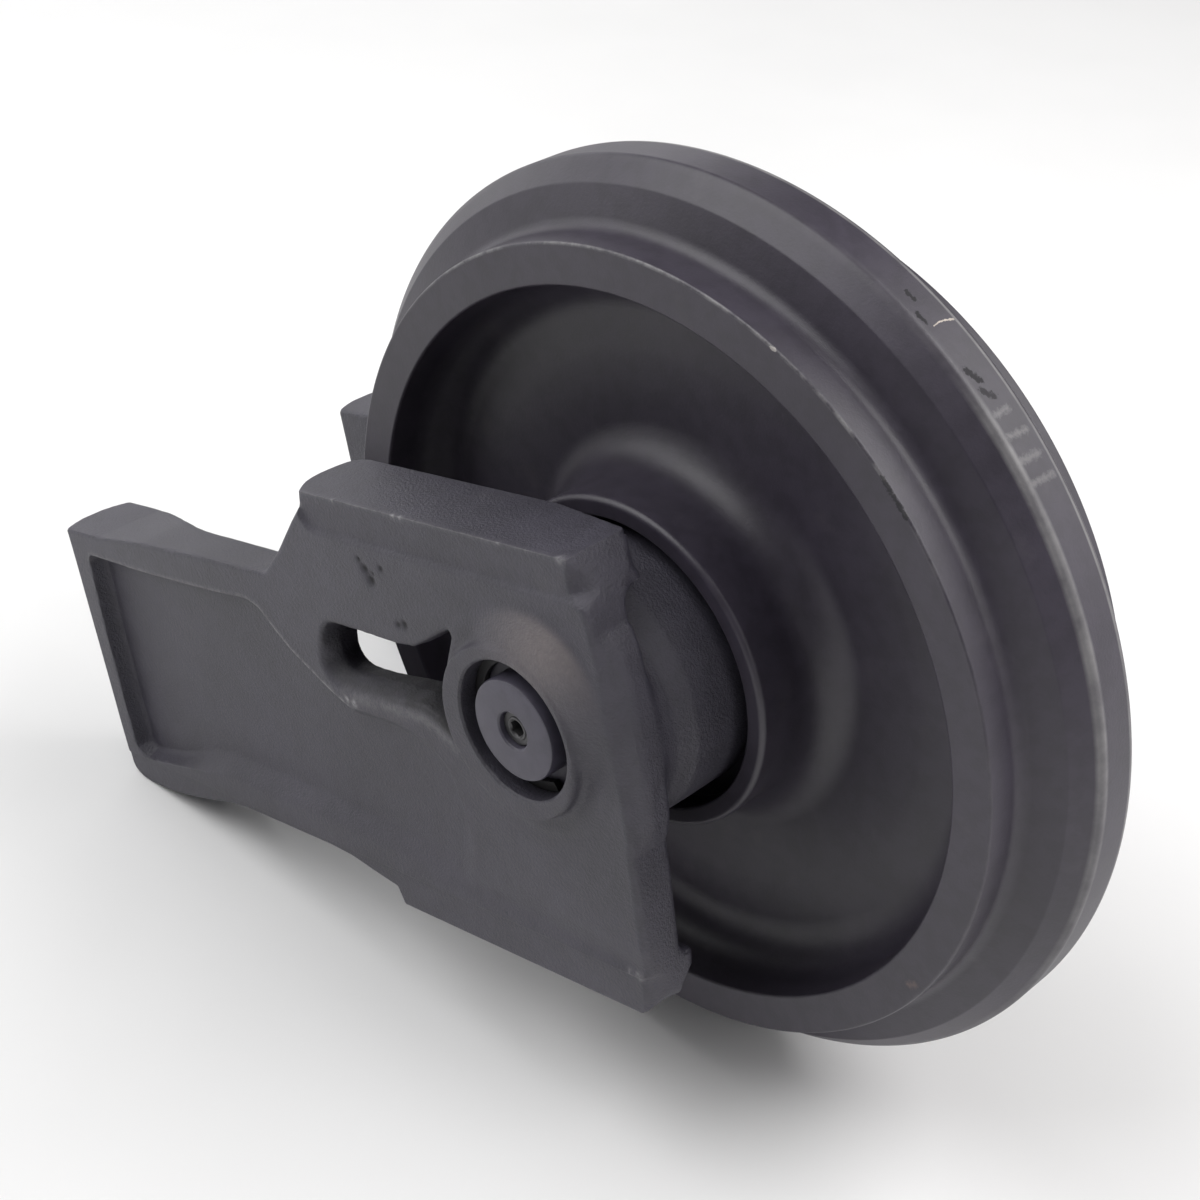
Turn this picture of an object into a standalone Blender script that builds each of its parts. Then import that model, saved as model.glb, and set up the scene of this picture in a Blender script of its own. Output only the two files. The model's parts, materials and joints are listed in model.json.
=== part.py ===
"""Front idler of a small tracked excavator.

A flanged guide wheel turns on two bronze bushes round a fixed shaft. The
shaft is held at both ends by cast brackets, whose guide pads slide in the
track frame and whose arms reach back to the track adjuster. Each side is
sealed by a pair of lapped metal rings, each carried on a rubber ring.

Metres, +Z up. Origin: on the floor, under the middle of the bounding box.
The axle lies along Y. +X is the front. The idler rests as it does off the
machine: on the wheel's flange and on the rear ends of both arms, so the
brackets are pitched nose up about the axle.
"""

import math

import bpy
import bmesh
from mathutils import Matrix, Vector

MM = 0.001

# ---- driving dimensions, millimetres -------------------------------------
# w is the distance from the middle plane of the wheel, along the axle.
FLANGE_R = 195.0          # outside radius of the centre flange
FLANGE_HALF = 8.46        # half width of the flange's outer cylinder
CHAMFER_R, CHAMFER_W = 186.5, 18.0
TREAD_R = 170.4           # radius on which the track links run
TREAD_W = 40.6            # half width of the wheel across both treads
SIDE_FOOT_R, SIDE_FOOT_W = 174.6, 22.2   # foot of the flange's sloping side
TREAD_FILLET = 6.5        # flange side to tread
RIM_IN_R = 153.3          # inner edge of the rim's side face
WEB_W = 11.0              # half thickness of the dished web
HUB_R = 72.3              # neck of the hub
HUB_W = 48.0              # half length of the hub
HUB_MOUTH_R = 64.0        # mouth round the bracket's seal collar
LABYRINTH_W = 35.5        # floor of the mouth
SEAL_SEAT_R = 50.0        # seat of the wheel-side rubber ring
SEAL_FLOOR_W = 24.5
BUSH_BORE_R = 35.2
OIL_R = 39.0              # oil space between the bushes
OIL_W = 3.5

SHAFT_R = 29.2            # through bushes and brackets
NOSE_R = 21.6             # reduced end inside the retaining ring
NOSE_W = 98.0
SHAFT_W = 109.8
PLUG_POCKET_R, PLUG_POCKET_DEPTH = 7.8, 2.6
PLUG_R, PLUG_LENGTH, PLUG_HEX = 5.0, 12.0, 6.4

BORE_R = 29.6             # bracket bore
BOSS_W = 110.5            # outer face of the boss
BOSS_FOOT_R = 46.0
RIM_R, RIM_AT = 36.5, (-4.0, -2.5)   # raised rim, cast a little off the bore's centre
DOME_R, DOME_AT = 35.0, (11.0, 15.0) # low dome from the rim towards the pad
COLLAR_R, COLLAR_W = 57.0, 37.0
BOSS_R = 54.5
CAVITY_R, CAVITY_W = 50.0, 49.5
RING_GROOVE_R = 31.6
RING_W0, RING_W1 = 98.35, 101.2

PLATE_W0, PLATE_W1 = 83.5, 103.5     # inner and outer face of the plate
PAD_W = 102.0             # machined outer face of the guide pads
PAD_TOP_Z, PAD_LOW_Z = 76.0, 60.5
FOOT_Z = -121.5           # bottom guide face
FRONT_X = 48.0
REAR_X = -337.0           # the arm's end is convex, this is its middle
REAR_EDGE_X = -331.0      # and these are its outer and inner edges
ARM_W0 = 81.5             # inner face of the arm
YOKE_W = 66.0             # thicker pad where the adjuster's yoke sits
YOKE_FLAT_X, YOKE_END_X = -298.0, -244.0   # its flat ends, and its slope meets the arm
POCKET_REAR_W, POCKET_FRONT_W = 95.3, 101.0

ROUND = 32                # sides of the small turned pieces
WHEEL_ROUND = 60

OBJECT_NAME = "excavator_front_idler"

# ---- scene ----------------------------------------------------------------
for old in list(bpy.data.objects):
    bpy.data.objects.remove(old, do_unlink=True)

PARTS = bpy.data.collections.new(OBJECT_NAME)
CUTTERS = bpy.data.collections.new("cutters")
bpy.context.scene.collection.children.link(PARTS)
bpy.context.scene.collection.children.link(CUTTERS)
CUTTERS.hide_render = True


def material(name, colour, roughness, metallic):
    mat = bpy.data.materials.new(name)
    mat.use_nodes = True
    shader = mat.node_tree.nodes["Principled BSDF"]
    shader.inputs["Base Color"].default_value = (*colour, 1.0)
    shader.inputs["Roughness"].default_value = roughness
    shader.inputs["Metallic"].default_value = metallic
    return mat


CAST_PAINT = material("cast_paint", (0.055, 0.054, 0.058), 0.55, 0.0)
WHEEL_PAINT = material("wheel_paint", (0.045, 0.043, 0.046), 0.42, 0.0)
SHAFT_PAINT = material("shaft_paint", (0.060, 0.059, 0.063), 0.45, 0.0)
BRONZE = material("bronze", (0.62, 0.40, 0.20), 0.35, 1.0)
SEAL_IRON = material("seal_iron", (0.36, 0.36, 0.37), 0.25, 1.0)
RUBBER = material("rubber", (0.02, 0.02, 0.02), 0.75, 0.0)
SPRING_STEEL = material("spring_steel", (0.10, 0.10, 0.105), 0.40, 0.8)
PLUG_STEEL = material("plug_steel", (0.070, 0.069, 0.072), 0.45, 0.5)


def mesh_object(name, mesh, collection, mat=None):
    obj = bpy.data.objects.new(name, mesh)
    collection.objects.link(obj)
    if mat is not None:
        mesh.materials.clear()
        mesh.materials.append(mat)
    if collection is CUTTERS:
        obj.hide_render = True
        obj.display_type = "WIRE"
    return obj


def evaluated_mesh(obj):
    bpy.context.view_layer.update()
    graph = bpy.context.evaluated_depsgraph_get()
    return bpy.data.meshes.new_from_object(obj.evaluated_get(graph))


def smooth(mesh, angle=35.0):
    mesh.shade_smooth()
    mesh.set_sharp_from_angle(angle=math.radians(angle))


def turned_mesh(name, profile, steps):
    """Solid of revolution about local Z from (radius, height) pairs in mm.

    The profile runs down the outer side. It is closed when neither end lies
    on the axis."""
    mesh = bpy.data.meshes.new(name + "_profile")
    points = [(r * MM, 0.0, z * MM) for r, z in profile]
    edges = [(i, i + 1) for i in range(len(points) - 1)]
    if profile[0][0] > 1e-6:
        edges.append((len(points) - 1, 0))
    mesh.from_pydata(points, edges, [])
    guide = mesh_object(name + "_profile", mesh, CUTTERS)
    screw = guide.modifiers.new("turn", "SCREW")
    screw.axis = "Z"
    screw.angle = math.tau
    screw.steps = steps
    screw.render_steps = steps
    screw.use_merge_vertices = True
    screw.merge_threshold = 0.00001
    screw.use_smooth_shade = True
    made = evaluated_mesh(guide)
    bpy.data.objects.remove(guide, do_unlink=True)
    work = bmesh.new()
    work.from_mesh(made)
    bmesh.ops.remove_doubles(work, verts=work.verts, dist=0.000001)
    bmesh.ops.recalc_face_normals(work, faces=work.faces)
    work.to_mesh(made)
    work.free()
    made.name = name
    return made


def turned(name, profile, steps, mat, side, parent, collection=PARTS):
    """A turned piece on the axle. Its profile's height is w, outwards on side."""
    mesh = turned_mesh(name, profile, steps)
    smooth(mesh)
    obj = mesh_object(name, mesh, collection, mat)
    obj.rotation_euler = (math.radians(-90.0 * side), 0.0, 0.0)
    obj.parent = parent
    return obj


def prism(name, outline, w0, w1, side):
    """A flat outline in the level XZ plane, thick from w0 to w1 on one side.

    Made as a filled 2D curve, then turned into a mesh whose points are in
    the bracket's own frame."""
    curve = bpy.data.curves.new(name + "_outline", "CURVE")
    curve.dimensions = "2D"
    curve.fill_mode = "BOTH"
    curve.extrude = (w1 - w0) / 2 * MM
    spline = curve.splines.new("POLY")
    spline.points.add(len(outline) - 1)
    for point, (x, z) in zip(spline.points, outline):
        point.co = (x * MM, z * MM, 0.0, 1.0)
    spline.use_cyclic_u = True
    guide = bpy.data.objects.new(name + "_outline", curve)
    CUTTERS.objects.link(guide)
    guide.rotation_euler = (math.radians(90.0), 0.0, 0.0)
    guide.location = (0.0, side * (w0 + w1) / 2 * MM, 0.0)
    mesh = evaluated_mesh(guide)
    placed = guide.matrix_world.copy()
    bpy.data.objects.remove(guide, do_unlink=True)
    work = bmesh.new()
    work.from_mesh(mesh)
    bmesh.ops.remove_doubles(work, verts=work.verts, dist=0.000001)
    bmesh.ops.transform(work, matrix=placed, verts=work.verts)
    bmesh.ops.recalc_face_normals(work, faces=work.faces)
    work.to_mesh(mesh)
    work.free()
    mesh.name = name
    return mesh_object(name, mesh, CUTTERS)


def arc(cx, cz, r, start, end, count):
    """Points on a circle, angles in degrees."""
    return [
        (
            cx + r * math.cos(math.radians(start + (end - start) * i / count)),
            cz + r * math.sin(math.radians(start + (end - start) * i / count)),
        )
        for i in range(count + 1)
    ]


def boolean(target, tool, operation):
    step = target.modifiers.new(tool.name[:40], "BOOLEAN")
    step.operation = operation
    step.object = tool
    step.solver = "EXACT"


# ---- outlines of the bracket, in its level frame --------------------------
def arm_outline():
    """Tapered arm, from the yoke end forward to the plate."""
    top = [(-150.0, 31.6), (-209.0, 29.6), (-262.0, 26.4), (-300.0, 22.4)]
    rear_top = arc(REAR_X + 5.0, 17.5, 4.0, 90.0, 180.0, 3)
    rear_low = arc(REAR_X + 15.0, -102.5, 15.0, 180.0, 266.0, 6)
    low = [(-295.0, -117.5), (-262.0, -111.6), (-242.0, -107.4), (-225.0, -106.1)]
    low += [(-162.0, -105.6), (-150.0, -106.4)]
    return top + rear_top + rear_low + low


def plate_outline():
    """Front plate, below the machined top pad."""
    slant = [(-128.3, PAD_LOW_Z), (-145.0, 44.0), (-158.0, 33.0), (-165.0, 31.2)]
    low = [(-165.0, -105.9), (-147.0, -106.8), (-133.0, -109.7), (-119.0, -112.7)]
    low += [(-113.5, FOOT_Z + 0.4)]
    front = [(33.0, FOOT_Z + 0.4)] + arc(36.5, -109.4, 11.5, -84.0, 0.0, 4)
    return slant + low + front + [(FRONT_X, PAD_LOW_Z)]


def slot_outline():
    """Slot behind the boss: round rear end, dipped top edge, boss on its right."""
    rear = arc(-117.5, 4.8, 13.4, 98.0, 262.0, 8)
    low = [(-64.0, -8.4), (-52.0, -12.6), (-43.8, -15.8)]
    right = arc(0.0, 0.0, 46.2, 192.0, 139.0, 5)
    top = [(-38.4, 31.6), (-45.5, 28.4), (-54.2, 23.4), (-60.5, 20.2), (-67.0, 18.6)]
    return rear + low + right[:-1] + top


def pocket_outline():
    """Shallow pocket on the outer face, from the rear of the arm forward."""
    return (
        [(-315.0, 10.5), (-284.0, 11.5), (-247.0, 12.4), (-205.0, 14.2)]
        + [(-180.0, 15.8), (-171.0, 13.4), (-162.0, 4.4), (-153.0, -3.5)]
        + [(-141.0, -10.7), (-129.0, -17.7), (-118.0, -22.4), (-84.0, -21.6)]
        + [(-68.0, -25.2), (-56.5, -31.5), (-51.0, -43.0), (-50.4, -88.0)]
        + [(-58.0, -95.0), (-240.0, -91.5), (-286.0, -96.0), (-316.0, -100.0)]
        + [(-322.5, -92.0)]
    )


def resting_pitch():
    """Nose-up angle at which the rear of the arms reaches the floor."""
    low, high = 0.0, math.radians(40.0)
    for _ in range(60):
        mid = (low + high) / 2
        lowest = min(
            x * math.sin(mid) + z * math.cos(mid) for x, z in arm_outline()
        )
        if lowest > -FLANGE_R:
            low = mid
        else:
            high = mid
    return low


PITCH = resting_pitch()
REARMOST = min(
    x * math.cos(PITCH) - z * math.sin(PITCH) for x, z in arm_outline()
)
AXLE = Vector((-(REARMOST + FLANGE_R) / 2 * MM, 0.0, FLANGE_R * MM))


def empty(name, rotation=(0.0, 0.0, 0.0)):
    obj = bpy.data.objects.new(name, None)
    PARTS.objects.link(obj)
    obj.location = AXLE
    obj.rotation_euler = rotation
    return obj


FIXED = empty("fixed_frame", (0.0, -PITCH, 0.0))
TURNING = empty("turning_frame")


# ---- wheel ----------------------------------------------------------------
def fillet(cr, cw, r, start, end, count):
    return [
        (
            cr + r * math.cos(math.radians(start + (end - start) * i / count)),
            cw + r * math.sin(math.radians(start + (end - start) * i / count)),
        )
        for i in range(count + 1)
    ]


def wheel_half():
    """Outside of the wheel from the flange to the hub's mouth, then inside to the middle."""
    points = [
        (FLANGE_R, FLANGE_HALF - 2.8),
        (FLANGE_R - 1.0, FLANGE_HALF + 0.4),
        (CHAMFER_R, CHAMFER_W),
    ]
    slope = math.atan2(SIDE_FOOT_W - CHAMFER_W, CHAMFER_R - SIDE_FOOT_R)
    fillet_w = SIDE_FOOT_W + TREAD_FILLET * math.cos(slope)
    points += fillet(
        TREAD_R + TREAD_FILLET, fillet_w, TREAD_FILLET, 270.0 - math.degrees(slope), 180.0, 3
    )
    points += [(TREAD_R, TREAD_W - 1.6), (TREAD_R - 1.6, TREAD_W)]
    points += [(RIM_IN_R + 0.8, TREAD_W), (RIM_IN_R - 0.4, TREAD_W - 1.2)]
    points += fillet(RIM_IN_R - 20.0, WEB_W + 16.0, 17.0, 0.0, -80.0, 3)
    points += fillet(HUB_R + 17.0, WEB_W + 18.5, 17.0, 262.0, 180.0, 3)
    points += [(HUB_R - 0.4, HUB_W - 2.6), (HUB_R - 2.6, HUB_W)]
    points += [(HUB_MOUTH_R + 0.8, HUB_W), (HUB_MOUTH_R, HUB_W - 0.8)]
    points += [(HUB_MOUTH_R, LABYRINTH_W), (SEAL_SEAT_R, LABYRINTH_W)]
    points += [(SEAL_SEAT_R, SEAL_FLOOR_W), (BUSH_BORE_R, SEAL_FLOOR_W)]
    points += [(BUSH_BORE_R, OIL_W), (OIL_R, OIL_W)]
    return points


half = wheel_half()
wheel_profile = [(r, -w) for r, w in half] + [(r, w) for r, w in reversed(half)]
# The loop starts at the flange, runs over one side to the bore and back over the other.
turned("idler_wheel", wheel_profile, WHEEL_ROUND, WHEEL_PAINT, -1, TURNING)


def ring_profile(r0, r1, w0, w1, ease=0.0):
    """Ring of rectangular section, its outer corners eased."""
    return [(r1 - ease, w1), (r1, w1 - ease), (r1, w0 + ease), (r1 - ease, w0), (r0, w0), (r0, w1)]


def round_ring(radius, w, section, sides=6):
    return [
        (
            radius + section * math.cos(-math.tau * i / sides),
            w + section * math.sin(-math.tau * i / sides),
        )
        for i in range(sides)
    ]


# ---- shaft ----------------------------------------------------------------
SHAFT_GROOVE_W, SHAFT_GROOVE_HALF, SHAFT_GROOVE_R = 60.0, 2.0, 26.4


def shaft_profile():
    """From the plug's hole in the -Y end to the plain +Y end (height is w on -Y)."""
    top = [
        (0.0, SHAFT_W - PLUG_POCKET_DEPTH - PLUG_LENGTH - 3.0),
        (PLUG_R + 0.3, SHAFT_W - PLUG_POCKET_DEPTH - PLUG_LENGTH - 2.0),
        (PLUG_R + 0.3, SHAFT_W - PLUG_POCKET_DEPTH - 3.4),
        (PLUG_POCKET_R, SHAFT_W - PLUG_POCKET_DEPTH - 3.4),
        (PLUG_POCKET_R, SHAFT_W - 0.5),
        (PLUG_POCKET_R + 0.5, SHAFT_W),
        (NOSE_R - 1.6, SHAFT_W),
        (NOSE_R, SHAFT_W - 1.6),
        (NOSE_R, NOSE_W),
        (SHAFT_R - 1.0, NOSE_W),
        (SHAFT_R, NOSE_W - 1.0),
        (SHAFT_R, SHAFT_GROOVE_W + SHAFT_GROOVE_HALF),
        (SHAFT_GROOVE_R, SHAFT_GROOVE_W + SHAFT_GROOVE_HALF),
        (SHAFT_GROOVE_R, SHAFT_GROOVE_W - SHAFT_GROOVE_HALF),
        (SHAFT_R, SHAFT_GROOVE_W - SHAFT_GROOVE_HALF),
    ]
    low = [
        (SHAFT_R, -SHAFT_GROOVE_W + SHAFT_GROOVE_HALF),
        (SHAFT_GROOVE_R, -SHAFT_GROOVE_W + SHAFT_GROOVE_HALF),
        (SHAFT_GROOVE_R, -SHAFT_GROOVE_W - SHAFT_GROOVE_HALF),
        (SHAFT_R, -SHAFT_GROOVE_W - SHAFT_GROOVE_HALF),
        (SHAFT_R, -NOSE_W + 1.0),
        (SHAFT_R - 1.0, -NOSE_W),
        (NOSE_R, -NOSE_W),
        (NOSE_R, -SHAFT_W + 1.6),
        (NOSE_R - 1.6, -SHAFT_W),
        (0.0, -SHAFT_W),
    ]
    return top + low


turned("axle_shaft", shaft_profile(), ROUND, SHAFT_PAINT, -1, FIXED)

# ---- oil plug with its hexagon socket, and its seal ------------------------
PLUG_HEAD_W = SHAFT_W - PLUG_POCKET_DEPTH
plug = turned(
    "oil_plug",
    [
        (0.0, PLUG_HEAD_W),
        (6.8, PLUG_HEAD_W),
        (7.4, PLUG_HEAD_W - 0.6),
        (7.4, PLUG_HEAD_W - 1.4),
        (PLUG_R, PLUG_HEAD_W - 1.4),
        (PLUG_R, PLUG_HEAD_W - PLUG_LENGTH + 1.0),
        (PLUG_R - 1.0, PLUG_HEAD_W - PLUG_LENGTH),
        (0.0, PLUG_HEAD_W - PLUG_LENGTH),
    ],
    24,
    PLUG_STEEL,
    -1,
    FIXED,
)
bpy.ops.mesh.primitive_cylinder_add(
    vertices=6, radius=PLUG_HEX / math.sqrt(3.0) * MM, depth=9.0 * MM
)
socket = bpy.context.object
socket.name = "plug_socket"
for owner in list(socket.users_collection):
    owner.objects.unlink(socket)
CUTTERS.objects.link(socket)
socket.hide_render = True
socket.display_type = "WIRE"
socket.rotation_euler = (math.radians(90.0), 0.0, 0.0)
socket.location = (0.0, -(PLUG_HEAD_W + 0.2) * MM, 0.0)
socket.parent = FIXED
boolean(plug, socket, "DIFFERENCE")

turned(
    "oil_plug_seal",
    round_ring(6.35, PLUG_HEAD_W - 2.45, 0.72),
    24,
    RUBBER,
    -1,
    FIXED,
)

# ---- bushes, seals, retaining rings ---------------------------------------
SEAL_R0, SEAL_R1 = 40.0, 45.0
FACE_W = 36.5             # where the two lapped faces of a seal meet
TORIC_R, TORIC_SECTION = 47.5, 2.15

for side, hand in ((-1, "left"), (1, "right")):
    turned(
        f"{hand}_bush",
        [
            (34.2, SEAL_FLOOR_W - 0.3),
            (34.9, SEAL_FLOOR_W - 1.0),
            (34.9, OIL_W + 0.3),
            (29.55, OIL_W + 0.3),
            (29.55, SEAL_FLOOR_W - 0.3),
        ],
        ROUND,
        BRONZE,
        side,
        TURNING,
    )
    turned(
        f"{hand}_seal_ring_wheel",
        [
            (SEAL_R1, FACE_W - 0.15),
            (SEAL_R1, 28.0),
            (SEAL_R1 - 2.0, 26.0),
            (SEAL_R0, 26.0),
            (SEAL_R0, FACE_W - 0.15),
        ],
        ROUND,
        SEAL_IRON,
        side,
        TURNING,
    )
    turned(
        f"{hand}_toric_ring_wheel",
        round_ring(TORIC_R, 31.0, TORIC_SECTION),
        ROUND,
        RUBBER,
        side,
        TURNING,
    )
    turned(
        f"{hand}_seal_ring_bracket",
        [
            (SEAL_R1 - 2.0, 47.0),
            (SEAL_R1, 45.0),
            (SEAL_R1, FACE_W + 0.15),
            (SEAL_R0, FACE_W + 0.15),
            (SEAL_R0, 47.0),
        ],
        ROUND,
        SEAL_IRON,
        side,
        FIXED,
    )
    turned(
        f"{hand}_toric_ring_bracket",
        round_ring(TORIC_R, 42.0, TORIC_SECTION),
        ROUND,
        RUBBER,
        side,
        FIXED,
    )
    turned(
        f"{hand}_shaft_o_ring",
        round_ring(27.95, SHAFT_GROOVE_W, 1.15),
        ROUND,
        RUBBER,
        side,
        FIXED,
    )
    ring = turned(
        f"{hand}_retaining_ring",
        ring_profile(25.6, 31.2, RING_W0, RING_W1, 0.4),
        ROUND,
        SPRING_STEEL,
        side,
        FIXED,
    )
    bpy.ops.mesh.primitive_cube_add(size=1.0)
    gap = bpy.context.object
    gap.name = f"{hand}_ring_gap"
    for owner in list(gap.users_collection):
        owner.objects.unlink(gap)
    CUTTERS.objects.link(gap)
    gap.hide_render = True
    gap.display_type = "WIRE"
    gap.data.transform(Matrix.Diagonal((0.016, 0.008, 0.009, 1.0)))
    gap.parent = FIXED
    # the split sits low and forward
    where = math.radians(-62.0)
    gap.rotation_euler = (0.0, -where, 0.0)
    gap.location = (
        28.4 * MM * math.cos(where),
        side * (RING_W0 + RING_W1) / 2 * MM,
        28.4 * MM * math.sin(where),
    )
    boolean(ring, gap, "DIFFERENCE")


# ---- brackets -------------------------------------------------------------
def tool(name, profile, steps, side, at=(0.0, 0.0)):
    """A turned solid used to build or bore a bracket, in the bracket's frame."""
    obj = turned(name, profile, steps, None, side, None, CUTTERS)
    placed = Matrix.Rotation(obj.rotation_euler.x, 4, "X")
    obj.data.transform(Matrix.Translation((at[0] * MM, 0.0, at[1] * MM)) @ placed)
    obj.rotation_euler = (0.0, 0.0, 0.0)
    obj.parent = FIXED
    return obj


def flat_tool(name, outline, w0, w1, side):
    obj = prism(name, outline, w0, w1, side)
    obj.parent = FIXED
    return obj


def bracket(hand, side):
    body = prism(f"{hand}_bracket", plate_outline(), PLATE_W0, PLATE_W1, side)
    CUTTERS.objects.unlink(body)
    PARTS.objects.link(body)
    body.hide_render = False
    body.display_type = "TEXTURED"
    body.data.materials.clear()
    body.data.materials.append(CAST_PAINT)
    body.parent = FIXED

    arm = flat_tool(f"{hand}_arm", arm_outline(), ARM_W0, PLATE_W1 - 0.2, side)
    boolean(body, arm, "UNION")
    yoke = [
        (YOKE_END_X - 0.6, 27.2),
        (-262.0, 25.9),
        (-300.0, 21.9),
        (REAR_X + 5.5, 20.9),
        (REAR_X + 1.5, 17.0),
        (REAR_X + 0.5, -102.5),
        (REAR_X + 5.0, -112.4),
        (REAR_X + 15.0, -116.8),
        (-295.0, -116.9),
        (-262.0, -111.0),
        (YOKE_END_X - 0.6, -107.2),
    ]
    yoke_pad = flat_tool(f"{hand}_yoke_pad", yoke, YOKE_W, PLATE_W0, side)
    run = YOKE_END_X - YOKE_FLAT_X
    slope = math.atan2(ARM_W0 - YOKE_W, run)
    wedge = [(YOKE_FLAT_X, 60.0), (YOKE_FLAT_X, -150.0), (YOKE_END_X + 30.0, -150.0)]
    wedge += [(YOKE_END_X + 30.0, 60.0)]
    wedge = flat_tool(f"{hand}_yoke_slope", wedge, YOKE_W - 40.0, YOKE_W, side)
    hinge = Vector((YOKE_FLAT_X * MM, side * YOKE_W * MM, 0.0))
    wedge.data.transform(
        Matrix.Translation(hinge)
        @ Matrix.Rotation(side * slope, 4, "Z")
        @ Matrix.Translation(-hinge)
    )
    boolean(yoke_pad, wedge, "DIFFERENCE")
    boolean(body, yoke_pad, "UNION")
    pad = [
        (-129.4, PAD_LOW_Z - 0.5),
        (-127.2, 71.0),
        (-125.6, PAD_TOP_Z),
        (FRONT_X - 0.3, PAD_TOP_Z),
        (FRONT_X - 0.3, PAD_LOW_Z - 0.5),
    ]
    top_pad = flat_tool(f"{hand}_top_pad", pad, 65.0, PAD_W, side)
    # the pad's rear end is convex, so its outer corner is cut back
    corner = [
        (-117.2, 80.0),
        (-117.2, 75.5),
        (-118.8, 70.6),
        (-130.3, 59.1),
        (-160.0, 59.1),
        (-160.0, 80.0),
    ]
    corner = flat_tool(f"{hand}_pad_corner", corner, PAD_W - 30.0, PAD_W + 30.0, side)
    hinge = Vector((-117.2 * MM, side * PAD_W * MM, 0.0))
    corner.data.transform(
        Matrix.Translation(hinge)
        @ Matrix.Rotation(-side * math.atan2(8.4, 12.0), 4, "Z")
        @ Matrix.Translation(-hinge)
    )
    boolean(top_pad, corner, "DIFFERENCE")
    boolean(body, top_pad, "UNION")
    foot = [
        (-114.0, -103.0),
        (-115.6, -118.5),
        (-112.0, FOOT_Z),
        (33.0, FOOT_Z),
        (40.0, -118.8),
        (43.4, -113.0),
        (43.4, -103.0),
    ]
    boolean(body, flat_tool(f"{hand}_bottom_pad", foot, 77.0, PAD_W, side), "UNION")
    boss = [
        (0.0, 103.2),
        (BOSS_FOOT_R, 103.2),
        (BOSS_FOOT_R, 99.0),
        (BOSS_R - 2.0, 97.0),
        (BOSS_R, 75.0),
        (COLLAR_R, 70.0),
        (COLLAR_R, COLLAR_W + 1.0),
        (COLLAR_R - 1.0, COLLAR_W),
        (0.0, COLLAR_W),
    ]
    boolean(body, tool(f"{hand}_boss", boss, 40, side), "UNION")
    dome = [
        (0.0, BOSS_W - 0.3),
        (DOME_R - 21.0, BOSS_W - 1.2),
        (DOME_R - 9.5, BOSS_W - 3.8),
        (DOME_R, 103.3),
        (DOME_R + 1.0, 99.5),
        (0.0, 99.5),
    ]
    boolean(body, tool(f"{hand}_dome", dome, 28, side, DOME_AT), "UNION")
    rim = [
        (0.0, BOSS_W),
        (RIM_R - 0.8, BOSS_W),
        (RIM_R, BOSS_W - 0.8),
        (RIM_R + 1.8, 102.8),
        (RIM_R + 1.8, 98.6),
        (0.0, 98.6),
    ]
    boolean(body, tool(f"{hand}_rim", rim, ROUND, side, RIM_AT), "UNION")

    for edge, w_edge, w_flat in (("outer", 104.0, 92.0), ("inner", 67.0, 78.0)):
        end = [(REAR_EDGE_X - 20.0, -150.0), (REAR_EDGE_X, -150.0)]
        end += [(REAR_EDGE_X, 60.0), (REAR_EDGE_X - 20.0, 60.0)]
        slice_ = flat_tool(f"{hand}_{edge}_end", end, w_edge - 30.0, w_edge + 30.0, side)
        lean = math.atan2(REAR_X - REAR_EDGE_X, w_edge - w_flat)
        pivot = Vector((REAR_EDGE_X * MM, side * w_edge * MM, 0.0))
        if edge == "inner":
            lean = math.atan2(REAR_EDGE_X - REAR_X, w_flat - w_edge)
        slice_.data.transform(
            Matrix.Translation(pivot)
            @ Matrix.Rotation(side * lean, 4, "Z")
            @ Matrix.Translation(-pivot)
        )
        boolean(body, slice_, "DIFFERENCE")

    pocket = flat_tool(
        f"{hand}_pocket", pocket_outline(), POCKET_REAR_W, POCKET_REAR_W + 30.0, side
    )
    # the floor rises towards the front
    length = 322.5 - 50.4
    lean = math.atan2(POCKET_FRONT_W - POCKET_REAR_W, length)
    pivot = Vector((-322.5 * MM, side * POCKET_REAR_W * MM, 0.0))
    pocket.data.transform(
        Matrix.Translation(pivot)
        @ Matrix.Rotation(side * lean, 4, "Z")
        @ Matrix.Translation(-pivot)
    )
    boolean(body, pocket, "DIFFERENCE")
    boolean(body, flat_tool(f"{hand}_slot", slot_outline(), 60.0, 116.0, side), "DIFFERENCE")
    bore = [
        (0.0, BOSS_W + 4.0),
        (BORE_R + 4.6, BOSS_W + 4.0),
        (BORE_R + 1.0, BOSS_W + 0.001),
        (BORE_R, BOSS_W - 1.0),
        (BORE_R, RING_W1 + 0.35),
        (RING_GROOVE_R, RING_W1 + 0.35),
        (RING_GROOVE_R, RING_W0 - 0.35),
        (BORE_R, RING_W0 - 0.35),
        (BORE_R, CAVITY_W),
        (CAVITY_R, CAVITY_W),
        (CAVITY_R, COLLAR_W - 6.0),
        (0.0, COLLAR_W - 6.0),
    ]
    boolean(body, tool(f"{hand}_bore", bore, ROUND, side), "DIFFERENCE")
    # inner front corner of the top pad, tapered towards the front
    corner = [(-2.0, 50.0), (62.0, 50.0), (62.0, 90.0), (-2.0, 90.0)]
    taper = flat_tool(f"{hand}_taper", corner, 50.0, 64.6, side)
    hinge = Vector((-2.0 * MM, side * 64.6 * MM, 0.0))
    taper.data.transform(
        Matrix.Translation(hinge)
        @ Matrix.Rotation(side * math.atan2(7.6, 50.0), 4, "Z")
        @ Matrix.Translation(-hinge)
    )
    boolean(body, taper, "DIFFERENCE")
    return body


bracket("left", -1)
bracket("right", 1)

bpy.context.view_layer.update()
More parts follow.
